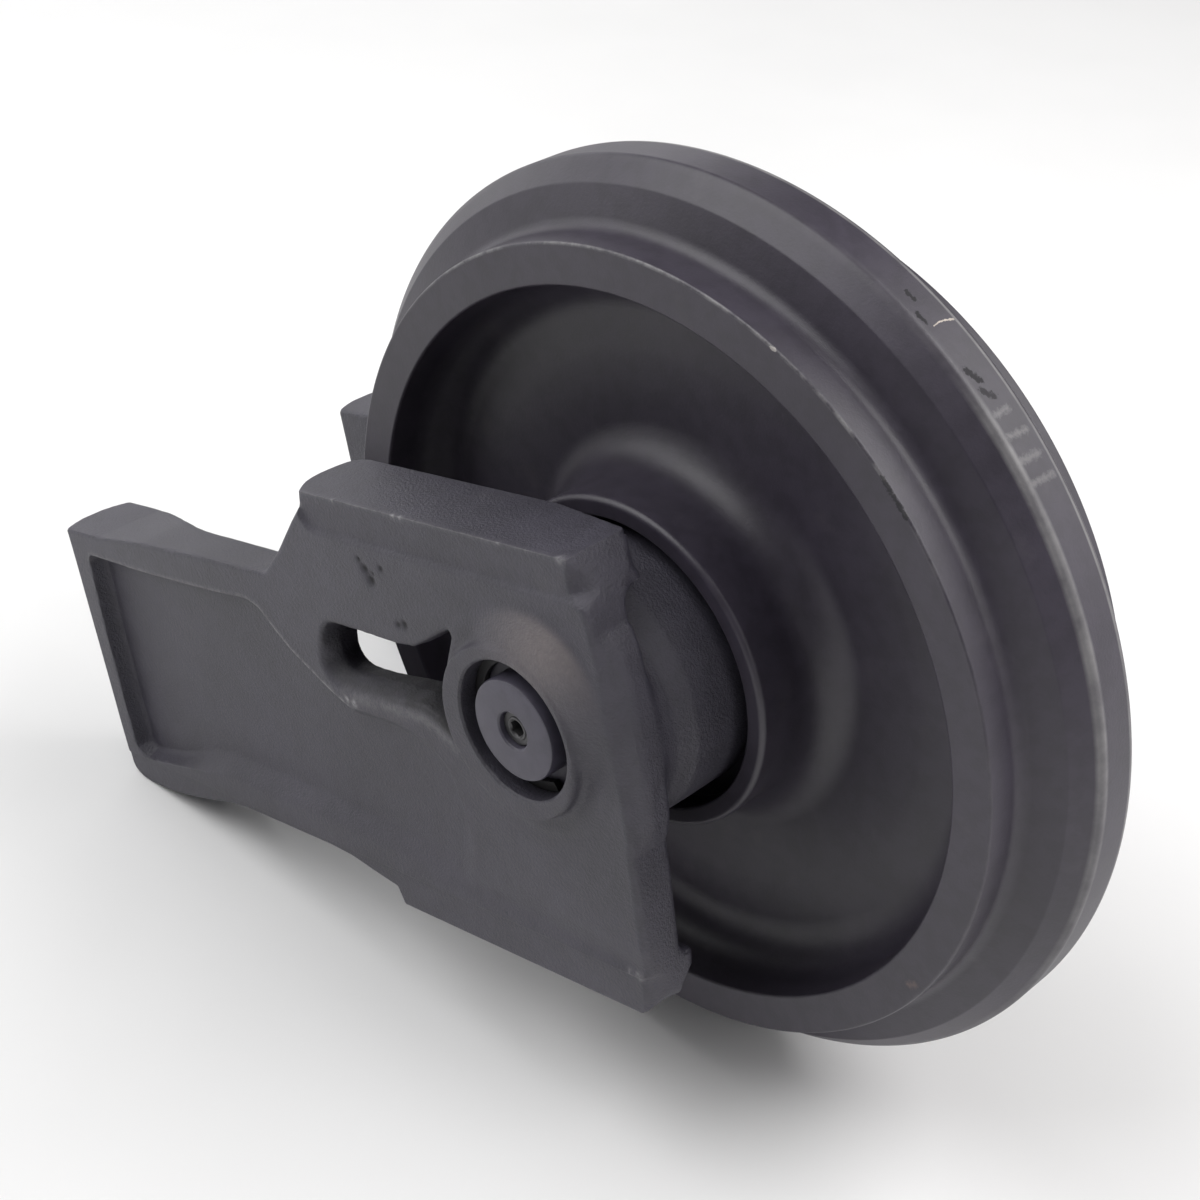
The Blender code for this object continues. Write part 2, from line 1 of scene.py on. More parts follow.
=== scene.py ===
"""Looks of an excavator front idler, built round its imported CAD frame.

Castings are contoured from smooth height and distance fields, so that their
fillets, draft and sand-cast skin are real geometry; turned pieces are swept
profiles. Bracket shapes are worked out in the bracket's level frame, in
millimetres: x forward, w outwards from the wheel's middle plane, z up.
"""

import json
import math

import bpy
import numpy as np
from mathutils import Matrix, Vector


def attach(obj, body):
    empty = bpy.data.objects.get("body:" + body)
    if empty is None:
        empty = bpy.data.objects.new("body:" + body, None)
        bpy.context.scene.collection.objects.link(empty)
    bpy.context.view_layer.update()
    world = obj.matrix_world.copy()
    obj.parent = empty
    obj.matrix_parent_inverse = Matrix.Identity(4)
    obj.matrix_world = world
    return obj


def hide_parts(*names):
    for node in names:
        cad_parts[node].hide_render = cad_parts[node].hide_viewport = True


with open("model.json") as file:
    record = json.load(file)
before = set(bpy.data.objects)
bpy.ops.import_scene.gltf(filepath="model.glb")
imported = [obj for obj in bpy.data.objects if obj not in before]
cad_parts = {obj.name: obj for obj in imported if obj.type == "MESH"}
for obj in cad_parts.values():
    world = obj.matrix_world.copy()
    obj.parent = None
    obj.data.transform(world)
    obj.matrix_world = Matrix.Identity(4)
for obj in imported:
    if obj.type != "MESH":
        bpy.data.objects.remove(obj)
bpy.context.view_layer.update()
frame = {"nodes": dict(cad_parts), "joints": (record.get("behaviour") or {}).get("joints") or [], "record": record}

MM = 0.001
RECORD = frame["record"]
AXLE = Vector(frame["joints"][0]["pos_m"])
PAD_UP = next(m["axis"] for m in RECORD["mounts"] if m["name"] == "left_guide_pad_top")
PITCH = math.atan2(-PAD_UP[0], PAD_UP[2])
# level bracket frame (metres, y = side * w) to the row frame
TO_ROW = Matrix.Translation(AXLE) @ Matrix.Rotation(-PITCH, 4, "Y")


# ---- fields ---------------------------------------------------------------
def ramp(t):
    t = np.clip(t, 0.0, 1.0)
    return t * t * (3.0 - 2.0 * t)


def polygon_distance(x, z, points):
    """Signed distance to a closed polygon, negative inside."""
    best = np.full(x.shape, 1e12)
    inside = np.zeros(x.shape, bool)
    count = len(points)
    for i in range(count):
        ax, az = points[i]
        bx, bz = points[(i + 1) % count]
        ex, ez = bx - ax, bz - az
        px, pz = x - ax, z - az
        t = np.clip((px * ex + pz * ez) / (ex * ex + ez * ez), 0.0, 1.0)
        best = np.minimum(best, (px - ex * t) ** 2 + (pz - ez * t) ** 2)
        if ez != 0.0:
            hit = ((az > z) != (bz > z)) & (px < pz * ex / ez)
            inside ^= hit
    return np.where(inside, -1.0, 1.0) * np.sqrt(best)


def rounded(points, radii, steps=6):
    """The polygon with each corner replaced by an arc of its radius."""
    out = []
    count = len(points)
    for i in range(count):
        p = np.array(points[i], float)
        a = np.array(points[i - 1], float) - p
        b = np.array(points[(i + 1) % count], float) - p
        la, lb = np.linalg.norm(a), np.linalg.norm(b)
        a, b = a / la, b / lb
        half = math.acos(max(-1.0, min(1.0, float(a @ b)))) / 2
        r = radii[i] if isinstance(radii, (list, tuple)) else radii
        if r <= 0.0 or half > 1.53:
            out.append(tuple(p))
            continue
        reach = min(r / math.tan(half), 0.48 * la, 0.48 * lb)
        r = reach * math.tan(half)
        middle = p + (a + b) / np.linalg.norm(a + b) * (r / math.sin(half))
        start, end = p + a * reach - middle, p + b * reach - middle
        t0, t1 = math.atan2(start[1], start[0]), math.atan2(end[1], end[0])
        sweep = (t1 - t0 + math.pi) % math.tau - math.pi
        for k in range(steps + 1):
            t = t0 + sweep * k / steps
            out.append((middle[0] + r * math.cos(t), middle[1] + r * math.sin(t)))
    return out


class Outline:
    """Distance to a polygon, worked out once on a fine lattice and then read between its points."""

    def __init__(self, points, margin=40.0, pitch=0.5):
        p = np.array(points, float)
        self.low = p.min(0) - margin
        self.pitch = pitch
        self.size = np.ceil((p.max(0) + margin - self.low) / pitch).astype(int) + 2
        gx = self.low[0] + pitch * np.arange(self.size[0])
        gz = self.low[1] + pitch * np.arange(self.size[1])
        self.values = polygon_distance(
            *np.meshgrid(gx, gz, indexing="ij"), points
        )

    def __call__(self, x, z):
        u = np.clip((x - self.low[0]) / self.pitch, 0, self.size[0] - 1.001)
        v = np.clip((z - self.low[1]) / self.pitch, 0, self.size[1] - 1.001)
        u, v = np.broadcast_arrays(u, v)
        i, j = u.astype(int), v.astype(int)
        fu, fv = u - i, v - j
        g = self.values
        return (
            (g[i, j] * (1 - fu) + g[i + 1, j] * fu) * (1 - fv)
            + (g[i, j + 1] * (1 - fu) + g[i + 1, j + 1] * fu) * fv
        )


def join_round(a, b, r):
    """Union with a concave fillet of radius r."""
    return np.maximum(r, np.minimum(a, b)) - np.hypot(
        np.maximum(r - a, 0.0), np.maximum(r - b, 0.0)
    )


def meet_round(a, b, r):
    """Intersection with its convex edge rounded to radius r."""
    return np.minimum(-r, np.maximum(a, b)) + np.hypot(
        np.maximum(r + a, 0.0), np.maximum(r + b, 0.0)
    )


def join_soft(a, b, k):
    h = np.clip(0.5 + 0.5 * (b - a) / k, 0.0, 1.0)
    return b * (1 - h) + a * h - k * h * (1 - h)


def ripple(x, w, z, seed, longest, count=26):
    """Smooth irregular ripple, about -1 to 1, for the skin of a casting."""
    rng = np.random.RandomState(seed)
    total, power = 0.0, 0.0
    for _ in range(count):
        length = longest * (0.28 + 0.72 * rng.rand())
        direction = rng.normal(size=3)
        direction *= math.tau / length / np.linalg.norm(direction)
        weight = length / longest
        phase = rng.rand() * math.tau
        total = total + weight * np.sin(
            x * direction[0] + w * direction[1] + z * direction[2] + phase
        )
        power += weight * weight
    return total / math.sqrt(power) / 1.4


# ---- contouring -----------------------------------------------------------
def contour(field, low, high, step):
    """Points and quads of the surface field = 0.

    Each cell that the surface crosses gets one point, put where the tangent
    planes of its crossings meet, so flat faces stay flat and edges crisp."""
    low, high = np.array(low, float), np.array(high, float)
    size = np.ceil((high - low) / step).astype(int) + 1
    axes = [low[i] + step * np.arange(size[i]) for i in range(3)]
    grid = field(axes[0][:, None, None], axes[1][None, :, None], axes[2][None, None, :])
    grid = np.broadcast_to(grid, tuple(size)).copy()
    grid[0], grid[-1] = 1.0, 1.0
    grid[:, 0], grid[:, -1] = 1.0, 1.0
    grid[:, :, 0], grid[:, :, -1] = 1.0, 1.0
    inside = grid < 0.0
    cells = size - 1
    near, far, owners, flips, kinds = [], [], [], [], []
    for axis in range(3):
        lo_slice = [slice(None)] * 3
        hi_slice = [slice(None)] * 3
        lo_slice[axis], hi_slice[axis] = slice(0, -1), slice(1, None)
        a, b = inside[tuple(lo_slice)], inside[tuple(hi_slice)]
        index = np.argwhere(a != b)
        other = index.copy()
        other[:, axis] += 1
        near.append(index)
        far.append(other)
        flips.append(a[tuple(index.T)])
        kinds.append(np.full(len(index), axis))
    near, far = np.concatenate(near), np.concatenate(far)
    flips, kinds = np.concatenate(flips), np.concatenate(kinds)
    p0, p1 = low + near * step, low + far * step
    f0, f1 = grid[tuple(near.T)], grid[tuple(far.T)]
    at = p0 + (p1 - p0) * (f0 / (f0 - f1))[:, None]
    for _ in range(3):
        value = field(at[:, 0], at[:, 1], at[:, 2])
        low_side = (value < 0.0) == (f0 < 0.0)
        p0 = np.where(low_side[:, None], at, p0)
        f0 = np.where(low_side, value, f0)
        p1 = np.where(low_side[:, None], p1, at)
        f1 = np.where(low_side, f1, value)
        gap = np.where(np.abs(f0 - f1) < 1e-12, 1e-12, f0 - f1)
        at = p0 + (p1 - p0) * np.clip(f0 / gap, 0.0, 1.0)[:, None]
    tiny = 0.02
    normal = np.stack(
        [
            field(*(at + tiny * axis).T) - field(*(at - tiny * axis).T)
            for axis in np.eye(3)
        ],
        axis=1,
    )
    normal /= np.maximum(np.linalg.norm(normal, axis=1), 1e-9)[:, None]

    # cells round each crossing, in order, for its quad
    rounds = {0: ((1, 2)), 1: ((2, 0)), 2: ((0, 1))}
    corners = np.zeros((len(near), 4, 3), int)
    for axis, (u, v) in rounds.items():
        rows = kinds == axis
        base = near[rows]
        for k, (du, dv) in enumerate(((0, 0), (-1, 0), (-1, -1), (0, -1))):
            cell = base.copy()
            cell[:, u] += du
            cell[:, v] += dv
            corners[rows, k] = cell
    flat = (corners[..., 0] * cells[1] + corners[..., 1]) * cells[2] + corners[..., 2]
    used, place = np.unique(flat, return_inverse=True)
    place = place.reshape(flat.shape)
    count = len(used)
    middle = np.zeros((count, 3))
    amount = np.bincount(place.ravel(), minlength=count)
    for i in range(3):
        middle[:, i] = np.bincount(
            place.ravel(), weights=np.repeat(at[:, i], 4), minlength=count
        )
    middle /= amount[:, None]
    offsets = np.einsum(
        "ij,ikj->ik", normal, at[:, None, :] - middle[place]
    )
    right = np.zeros((count, 3))
    square = np.zeros((count, 3, 3))
    for i in range(3):
        right[:, i] = np.bincount(
            place.ravel(), weights=(normal[:, i : i + 1] * offsets).ravel(), minlength=count
        )
        for j in range(i, 3):
            square[:, i, j] = square[:, j, i] = np.bincount(
                place.ravel(), weights=np.repeat(normal[:, i] * normal[:, j], 4), minlength=count
            )
    values, vectors = np.linalg.eigh(square)
    keep = values > 0.09 * values[:, -1:]
    inverse = np.where(keep, 1.0 / np.where(keep, values, 1.0), 0.0)
    moved = np.einsum("nij,nj,nkj,nk->ni", vectors, inverse, vectors, right)
    cell_index = np.stack(
        [used // (cells[1] * cells[2]), (used // cells[2]) % cells[1], used % cells[2]], axis=1
    )
    cell_low = low + cell_index * step
    points = np.clip(middle + moved, cell_low + 0.02 * step, cell_low + 0.98 * step)
    quads = np.where(flips[:, None], place, place[:, ::-1])
    return points, quads


def mesh_of(name, points, faces, angle=40.0):
    mesh = bpy.data.meshes.new(name)
    mesh.from_pydata([tuple(p) for p in points], [], [tuple(int(i) for i in f) for f in faces])
    mesh.update()
    mesh.shade_smooth()
    mesh.set_sharp_from_angle(angle=math.radians(angle))
    obj = bpy.data.objects.new(name, mesh)
    bpy.context.scene.collection.objects.link(obj)
    return obj


def place_level(points, side):
    """Level bracket points (x, w, z) in mm as row-frame metres."""
    local = np.stack([points[:, 0], side * points[:, 1], points[:, 2]], axis=1) * MM
    m = np.array(TO_ROW)
    return local @ m[:3, :3].T + m[:3, 3]


# ---- turned pieces --------------------------------------------------------
def arc_points(cr, cw, r, start, end, count):
    return [
        (
            cr + r * math.cos(math.radians(start + (end - start) * i / count)),
            cw + r * math.sin(math.radians(start + (end - start) * i / count)),
        )
        for i in range(count + 1)
    ]


def eased(points, radii, beside=0.5):
    """Open profile with its corners rounded, and a point just beside each arc so that straight runs shade straight."""
    out = [points[0]]
    for i in range(1, len(points) - 1):
        p = np.array(points[i], float)
        a = np.array(points[i - 1], float) - p
        b = np.array(points[i + 1], float) - p
        a, b = a / np.linalg.norm(a), b / np.linalg.norm(b)
        half = math.acos(max(-1.0, min(1.0, float(a @ b)))) / 2
        r = radii[i]
        if r <= 0.0:
            out.append(tuple(p))
            continue
        reach = r / math.tan(half)
        middle = p + (a + b) / np.linalg.norm(a + b) * (r / math.sin(half))
        start, end = p + a * reach - middle, p + b * reach - middle
        t0, t1 = math.atan2(start[1], start[0]), math.atan2(end[1], end[0])
        sweep = (t1 - t0 + math.pi) % math.tau - math.pi
        count = max(4, int(abs(math.degrees(sweep)) / 5.0))
        gap = min(beside, 0.25 * r)
        out.append(tuple(p + a * (reach + gap)))
        for k in range(count + 1):
            t = t0 + sweep * k / count
            out.append((middle[0] + r * math.cos(t), middle[1] + r * math.sin(t)))
        out.append(tuple(p + b * (reach + gap)))
    out.append(points[-1])
    return out


def dense(profile, longest):
    """The profile with long straight runs cut into shorter ones."""
    out = [profile[0]]
    for a, b in zip(profile, profile[1:]):
        runs = max(1, int(math.ceil(math.hypot(b[0] - a[0], b[1] - a[1]) / longest)))
        for k in range(1, runs + 1):
            out.append((a[0] + (b[0] - a[0]) * k / runs, a[1] + (b[1] - a[1]) * k / runs))
    return out


def turned(name, profile, steps, side, closed=True, angle=40.0, wobble=None):
    """Solid of revolution about the axle from (radius, w) pairs in mm, w outwards on that side."""
    prof = np.array(profile, float)
    turn = np.arange(steps) * math.tau / steps
    r, w = prof[:, 0][None, :], prof[:, 1][None, :]
    c, s = np.cos(turn)[:, None], np.sin(turn)[:, None]
    if wobble is not None:
        dr, dw = wobble(r, w, turn[:, None])
        r, w = r + dr, w + dw
    on_axis = prof[:, 0] < 1e-6
    x, z = r * c, r * s
    w = np.broadcast_to(w, x.shape)
    points = np.stack([x, w, z], axis=2)
    count = len(prof)
    index = np.arange(steps * count).reshape(steps, count)
    index = index.copy()
    for k in np.nonzero(on_axis)[0]:
        index[:, k] = index[0, k]
    faces = []
    last = count if closed else count - 1
    for k in range(last):
        k2 = (k + 1) % count
        a, b = index[:, k], index[:, k2]
        a2, b2 = np.roll(a, -1), np.roll(b, -1)
        if on_axis[k] and on_axis[k2]:
            continue
        if on_axis[k]:
            faces += list(zip(a, b, b2))
        elif on_axis[k2]:
            faces += list(zip(a, b, a2))
        else:
            faces += list(zip(a, b, b2, a2))
    flat = points.reshape(-1, 3)
    used = np.zeros(len(flat), bool)
    for f in faces:
        for i in f:
            used[i] = True
    renumber = np.cumsum(used) - 1
    flat = flat[used]
    faces = [tuple(int(renumber[i]) for i in f) for f in faces]
    if side > 0:
        faces = [f[::-1] for f in faces]
    return mesh_of(name, place_level(flat, side), faces, angle)


# ---- outlines of the bracket ---------------------------------------------
BODY = rounded(
    [
        (-337.4, 21.6), (-318.0, 22.1), (-300.0, 22.6), (-262.0, 26.6), (-209.0, 29.8),
        (-160.0, 31.6), (-145.4, 44.2), (-129.8, 60.5), (-120.6, 69.4), (-118.9, 76.0), (-118.7, 77.0),
        (70.0, 77.0), (70.0, -121.5), (-113.0, -121.5),
        (-116.0, -112.6), (-133.0, -109.5), (-147.0, -106.6), (-162.0, -105.7), (-225.0, -106.1), (-242.0, -107.5),
        (-262.0, -111.6), (-280.0, -114.9), (-300.0, -117.4), (-337.4, -117.3),
    ],
    [4.0, 20, 60, 200, 200, 9, 60, 60, 2.5, 0.0, 0.0, 0.0, 0.0, 2.0, 2.0, 30, 30, 60, 60, 60, 60, 60, 60, 17.0],
)
SLOT = rounded(
    [
        (-126.2, 16.2), (-126.2, -8.6), (-113.0, -8.9), (-80.0, -7.2), (-64.0, -7.0), (-52.0, -12.0), (-41.5, -18.0),
        (-44.6, -8.0), (-45.6, 4.0), (-43.4, 15.5), (-37.6, 26.5), (-35.0, 31.6),
        (-54.0, 21.4), (-62.0, 17.4), (-72.0, 16.4), (-100.0, 16.6),
    ],
    [12.4, 12.4, 8, 30, 12, 10, 0.8, 20, 20, 20, 20, 1.2, 10, 8, 12, 30],
)
POCKET = rounded(
    [
        (-315.0, 11.0), (-284.0, 11.2), (-247.0, 12.0), (-205.0, 14.0), (-180.0, 16.0), (-171.0, 13.4),
        (-162.0, 4.4), (-153.0, -3.5), (-141.0, -10.7), (-129.0, -17.7), (-118.0, -22.8), (-84.0, -22.0),
        (-66.0, -26.0), (-54.5, -36.0), (-50.5, -56.0), (-50.0, -84.0), (-60.0, -94.0), (-150.0, -92.0), (-236.0, -90.6),
        (-284.0, -98.0), (-315.0, -102.5), (-321.6, -96.0), (-319.0, -32.0),
    ],
    [4, 20, 60, 60, 14, 12, 60, 60, 60, 40, 10, 30, 24, 30, 60, 16, 14, 0, 60, 60, 5, 8, 60],
)
BODY_D, SLOT_D, POCKET_D = Outline(BODY), Outline(SLOT), Outline(POCKET)


def smoothed(points, width):
    """A curve through (place, value) pairs, its corners smoothed, as a table for np.interp."""
    places = np.arange(points[0][0] - 20.0, points[-1][0] + 20.0, 0.5)
    values = np.interp(places, [p[0] for p in points], [p[1] for p in points])
    span = np.arange(-2.5 * width, 2.5 * width + 0.25, 0.5)
    weight = np.exp(-0.5 * (span / width) ** 2)
    edge = len(span) // 2
    padded = np.concatenate([np.full(edge, values[0]), values, np.full(edge, values[-1])])
    return places, np.convolve(padded, weight / weight.sum(), "valid")[: len(places)]


# inner face of arm and plate against x, and how far the pad's rear end stands back against w
INNER_FACE = smoothed(
    [(-337.0, 65.8), (-304.0, 65.9), (-287.0, 68.1), (-263.0, 74.7), (-244.0, 78.9), (-229.0, 80.2),
     (-215.0, 81.1), (-177.0, 82.5), (-150.0, 83.5), (60.0, 83.5)], 5.0)
PAD_REAR = smoothed(
    [(64.9, 0.0), (65.8, -1.0), (67.6, -4.6), (70.8, -7.2), (77.2, -8.5), (85.0, -8.7), (89.3, -8.1),
     (93.5, -6.8), (97.0, -4.6), (100.0, -2.2), (102.4, 0.0), (106.0, 0.0)], 0.6)

# front face against z, and the radius of its edges
FRONT_FACE = smoothed(
    [(-121.5, 40.6), (-113.0, 42.4), (-103.0, 43.9), (-89.0, 45.2), (-57.0, 47.2), (-35.0, 48.0), (49.0, 48.0),
     (58.0, 47.2), (66.0, 44.6), (76.0, 40.8)], 2.0)
FRONT_EASING = smoothed(
    [(-121.5, 8.5), (-103.6, 8.5), (-101.6, 2.8), (-89.0, 2.8), (-57.0, 2.2), (-31.0, 2.0), (-14.0, 2.6), (12.0, 3.0), (44.0, 2.0),
     (57.8, 2.2), (60.5, 8.0), (62.0, 13.0), (67.0, 11.0), (73.5, 5.0), (76.0, 3.0)], 0.6)
# small holes left in the casting: x, z, radius, depth
PITS = ((-83.3, 48.8, 2.2, 0.9), (-80.7, 44.2, 2.6, 1.1), (-72.2, 51.0, 1.6, 0.6), (-64.5, 28.0, 2.0, 0.8), (-68.6, 27.1, 1.5, 0.6),
        (-78.6, 47.6, 1.2, 0.5), (-86.0, 52.6, 1.3, 0.5))


def pocket_depth(x, z):
    """How far the outer face of the casting lies under its full height."""
    inside = -POCKET_D(x, z)
    full = np.interp(x, [-322.0, -250.0, -150.0, -50.0], [8.4, 6.7, 4.6, 2.3])
    low = ramp((-58.0 - z) / 26.0) * ramp((x + 300.0) / 60.0)   # the lower wall is softer
    front = ramp((x + 262.0) / 120.0)        # the other walls get softer forward
    width = 4.2 + 6.5 * low + 4.0 * low * front + 1.4 * front * (1 - low)
    t = np.clip(inside / width, 0.0, 1.0)
    steep = 1.0 - (1.0 - t) ** 2.4
    soft = ramp(t)
    share = np.clip(0.75 * low + 0.30 * front, 0.0, 1.0)
    wall = full * (steep * (1 - share) + soft * share)
    # a shallow valley runs on under the boss, above the foot
    centre = np.interp(x, [-70.0, -8.0, 40.0], [-91.5, -95.5, -100.5])
    # and ends in a ridge along the foot's milled face
    valley = 1.5 * np.exp(-(((z - centre) / 7.0) ** 2)) * ramp((x + 130.0) / 70.0)
    valley = valley - 0.9 * np.exp(-(((z + 103.2) / 2.6) ** 2)) * ramp((x + 10.0) / 30.0)
    return wall + valley


def bracket_field(x, w, z):
    r = np.hypot(x, z)
    # inner side: plate, arm, yoke pad, top pad, foot
    core = (np.interp(x, *INNER_FACE) - w) * 0.97
    pad_w = 65.0 + np.interp(x, [-2.0, 50.0], [0.0, 7.9])
    pad = meet_round(meet_round(57.5 - z, pad_w - w, 2.0), -129.0 - x, 2.0)
    foot = meet_round(meet_round(z + 100.5, 76.2 - w, 4.0), -116.5 - x, 3.0)
    bevel = (88.0 - w - 121.5 - z - 14.0 * (1.0 - ramp((x - 12.0) / 22.0))) * 0.7071
    foot = meet_round(foot, bevel, 2.0)
    body = join_round(core, pad, 7.0)
    body = join_round(body, foot, 5.0)
    stand_back = np.interp(w, *PAD_REAR) * ramp((z - 36.0) / 18.0) * ramp((-70.0 - x) / 30.0)
    outline = BODY_D(x - stand_back, z)
    # outer side: full height less the pocket, with a low dome beside the rim
    outer = (w - (103.5 - pocket_depth(x, z))) * 0.93
    for px, pz, size, deep in PITS:
        hole = np.hypot(x - px, z - pz) / size
        outer = outer + deep * np.exp(-(hole**2)) * ramp((w - 98.0) / 3.0)
    from_dome = np.hypot(x - 11.0, z - 15.0)
    dome = (w - (103.5 + 7.0 * (1.0 - (from_dome / 36.6) ** 3.2))) * 0.92
    outer = join_soft(outer, dome, 1.6)
    rear_edge = -329.7 + np.clip(z - 5.0, -95.0, 0.0) * 0.022
    hump = np.clip(1.0 - ((w - 85.5) / 18.5) ** 2, 0.0, 1.0)
    rear_middle = -335.6 + np.clip(z - 17.5, -120.0, 0.0) * 0.008
    rear = rear_edge + (rear_middle - rear_edge) * hump - x
    outline = meet_round(outline, rear, 2.0)
    shape = meet_round(meet_round(outline, body, 2.6), outer, 1.7)
    # front face, swelling round the boss, with its well rounded corners at the pad and the foot
    rise = 1.0 - np.clip(np.abs(z) / 46.5, 0.0, 1.0) ** 5
    swell = (1.6 + 3.8 * ramp((103.0 - w) / 11.0)) * rise
    front = x - np.interp(z, *FRONT_FACE) - swell
    easing = np.interp(z, *FRONT_EASING)
    easing = np.where(easing > 5.0, easing * (0.5 + 0.5 * ramp((w - 80.0) / 14.0)), easing)
    shape = meet_round(shape, front, easing)
    # collar and boss
    radius = np.interp(w, [60.0, 67.0, 70.5, 76.0, 97.0, 103.0], [57.0, 56.8, 55.6, 54.0, 54.0, 46.0])
    boss = meet_round((r - radius) * 0.95, np.maximum(37.0 - w, w - 102.0), 0.8)
    shape = join_soft(shape, boss, 4.5)
    from_rim = np.hypot(x + 4.0, z + 2.5)
    rim = meet_round(from_rim - 36.6 + 0.10 * (w - 110.5), w - 110.45, 1.1)
    rim = np.maximum(rim, 96.0 - w)
    shape = join_round(shape, rim, 2.6)
    # slot, drafted from its parting line
    out = np.clip((w - 95.0) / 8.5, 0.0, 1.2)
    flare = ramp((9.0 - z) / 14.0) * ramp((-58.0 - x) / 50.0)
    draft = 1.3 * out + 4.2 * out**1.6 * flare + np.maximum(95.0 - w, 0.0) * (0.08 + 0.22 * flare)
    slot = np.maximum(SLOT_D(x, z) - draft, 76.0 - w)
    shape = meet_round(shape, -slot + 0.10 * ripple(x, w, z, 12, 12.0), 1.6)
    # machined faces
    edge = meet_round(60.9 - z, -120.4 - x, 8.0)
    ledge = (w - 102.0) * 0.84 - edge * 0.55
    shape = np.maximum(shape, np.minimum(w - 102.0, ledge))
    ledge = (-103.4 - z) * 0.80 + (w - 102.0) * 0.60
    shape = np.maximum(shape, np.minimum(w - 102.0, ledge))
    shape = np.maximum(shape, z - 76.0)
    shape = meet_round(shape, -121.5 - z, 0.9)
    shape = np.maximum(shape, w - 110.5)
    # bore with its lip, retaining-ring groove and seal cavity
    bore = r - (29.6 + np.clip(w - 109.6, 0.0, 2.0))
    shape = np.maximum(shape, -bore)
    groove = np.maximum(r - 31.6, np.abs(w - 99.775) - 1.8)
    shape = np.maximum(shape, -groove)
    cavity = np.maximum(r - 50.0, w - 49.5)
    return np.maximum(shape, -cavity)


# ---- brackets -------------------------------------------------------------
STEP = 1.35
bracket_points, bracket_quads = contour(
    bracket_field, (-341.0, 33.0, -126.0), (60.0, 114.0, 80.0), STEP
)
# the machined faces are the limits of the casting
bracket_points[:, 1] = np.minimum(bracket_points[:, 1], 110.5)
bracket_points[:, 2] = np.clip(bracket_points[:, 2], -121.5, 76.0)


def bracket_wear_and_painted_light(x, w, z):
    """Four maps from 0 to 1: bare paint with painted highlights along the pocket border, slot lip and pad edge, a
    painted highlight on the dome, painted shade in the casting holes, and oil.
    """
    outside = ramp((w - 90.0) / 6.0)
    # painted highlight: a bright line along the pocket's border, kept in the bare layer
    border_highlight = np.exp(-((POCKET_D(x, z) / 1.1) ** 2))
    diagonal = ramp((x + 178.0) / 10.0) * (1.0 - ramp((x + 120.0) / 8.0)) * ramp((z + 30.0) / 6.0)
    top = (1.0 - ramp((x + 178.0) / 10.0)) * ramp((z - 5.0) / 4.0)
    bare = border_highlight * (0.42 * diagonal + 0.22 * top)
    # painted highlight: a lighter band along the slot's lower lip
    lip = np.exp(-(((SLOT_D(x, z) - 8.0) / 2.6) ** 2)) * ramp((-4.0 - z) / 8.0) * ramp((x + 124.0) / 8.0)
    bare = np.maximum(bare, 0.16 * lip * ramp((-44.0 - x) / 6.0))
    # painted highlight along the top pad's outer edge
    pad_edge_highlight = np.exp(-(((z - 76.0) / 0.9) ** 2)) * np.exp(-(((w - 102.0) / 0.9) ** 2))
    bare = np.maximum(bare, 0.13 * pad_edge_highlight)
    # paint chipped bare at single spots
    for px, pw, pz, size, much in (
        (-58.4, 102.0, 76.0, 1.3, 0.8), (-54.0, 102.0, 76.0, 1.2, 0.7), (3.4, 102.0, 76.0, 1.1, 0.6), (37.0, 101.6, 76.0, 1.7, 0.65),
        (-118.0, 103.0, -18.8, 1.4, 0.9), (-113.6, 103.0, -19.8, 1.6, 1.0), (38.4, 102.0, -102.4, 1.8, 0.65), (34.0, 102.4, -101.8, 1.4, 0.4),
        (-120.9, 101.5, 69.6, 1.4, 0.4), (-97.5, 102.0, 76.0, 1.1, 0.5),
    ):
        spot = ((x - px) ** 2 + (w - pw) ** 2 + (z - pz) ** 2) / size**2
        bare = np.maximum(bare, much * np.exp(-spot))
    # painted highlight: a lighter patch on the dome beside the rim
    dome_highlight = np.exp(-(((x - 25.0) / 24.0) ** 2 + ((z - 40.0) / 19.0) ** 2)) * ramp((w - 103.4) / 2.0)
    # painted shade: the casting holes darkened
    pit_shade = np.zeros_like(x)
    for px, pz, size, deep in PITS:
        pit_shade = np.maximum(pit_shade, np.exp(-(((x - px) ** 2 + (z - pz) ** 2) / (size * 0.85) ** 2)))
    # oil that has run into the slot and lies on its lower lip
    from_slot = SLOT_D(x, z)
    oil = (1.0 - ramp((from_slot - 3.0) / 3.4)) * ramp((3.0 - z) / 9.0) * ramp((-40.0 - x) / 4.0)
    oil = oil * (0.50 + 0.35 * ramp((x + 92.0) / 30.0))
    oil = np.maximum(oil, 0.45 * (1.0 - ramp((from_slot - 1.2) / 2.0)) * ramp((-96.0 - x) / 12.0)) * ramp((w - 70.0) / 5.0)
    return tuple(np.clip(v, 0.0, 1.0) for v in (bare * outside, dome_highlight, pit_shade * outside, oil))


bare_and_highlight_map, dome_highlight_map, pit_shade_map, oil_map = bracket_wear_and_painted_light(*bracket_points.T)
brackets = {}
for side, hand in ((-1, "left"), (1, "right")):
    quads = bracket_quads if side > 0 else bracket_quads[:, ::-1]
    obj = mesh_of(f"{hand}_bracket_casting", place_level(bracket_points, side), quads, 38.0)
    for layer, values in (("bare", bare_and_highlight_map), ("dome_highlight", dome_highlight_map), ("hole", pit_shade_map), ("oil", oil_map)):
        obj.data.attributes.new(layer, "FLOAT", "POINT").data.foreach_set("value", values.astype(np.float32))
    brackets[hand] = obj
    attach(obj, "frame")
    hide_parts(f"{hand}_bracket")


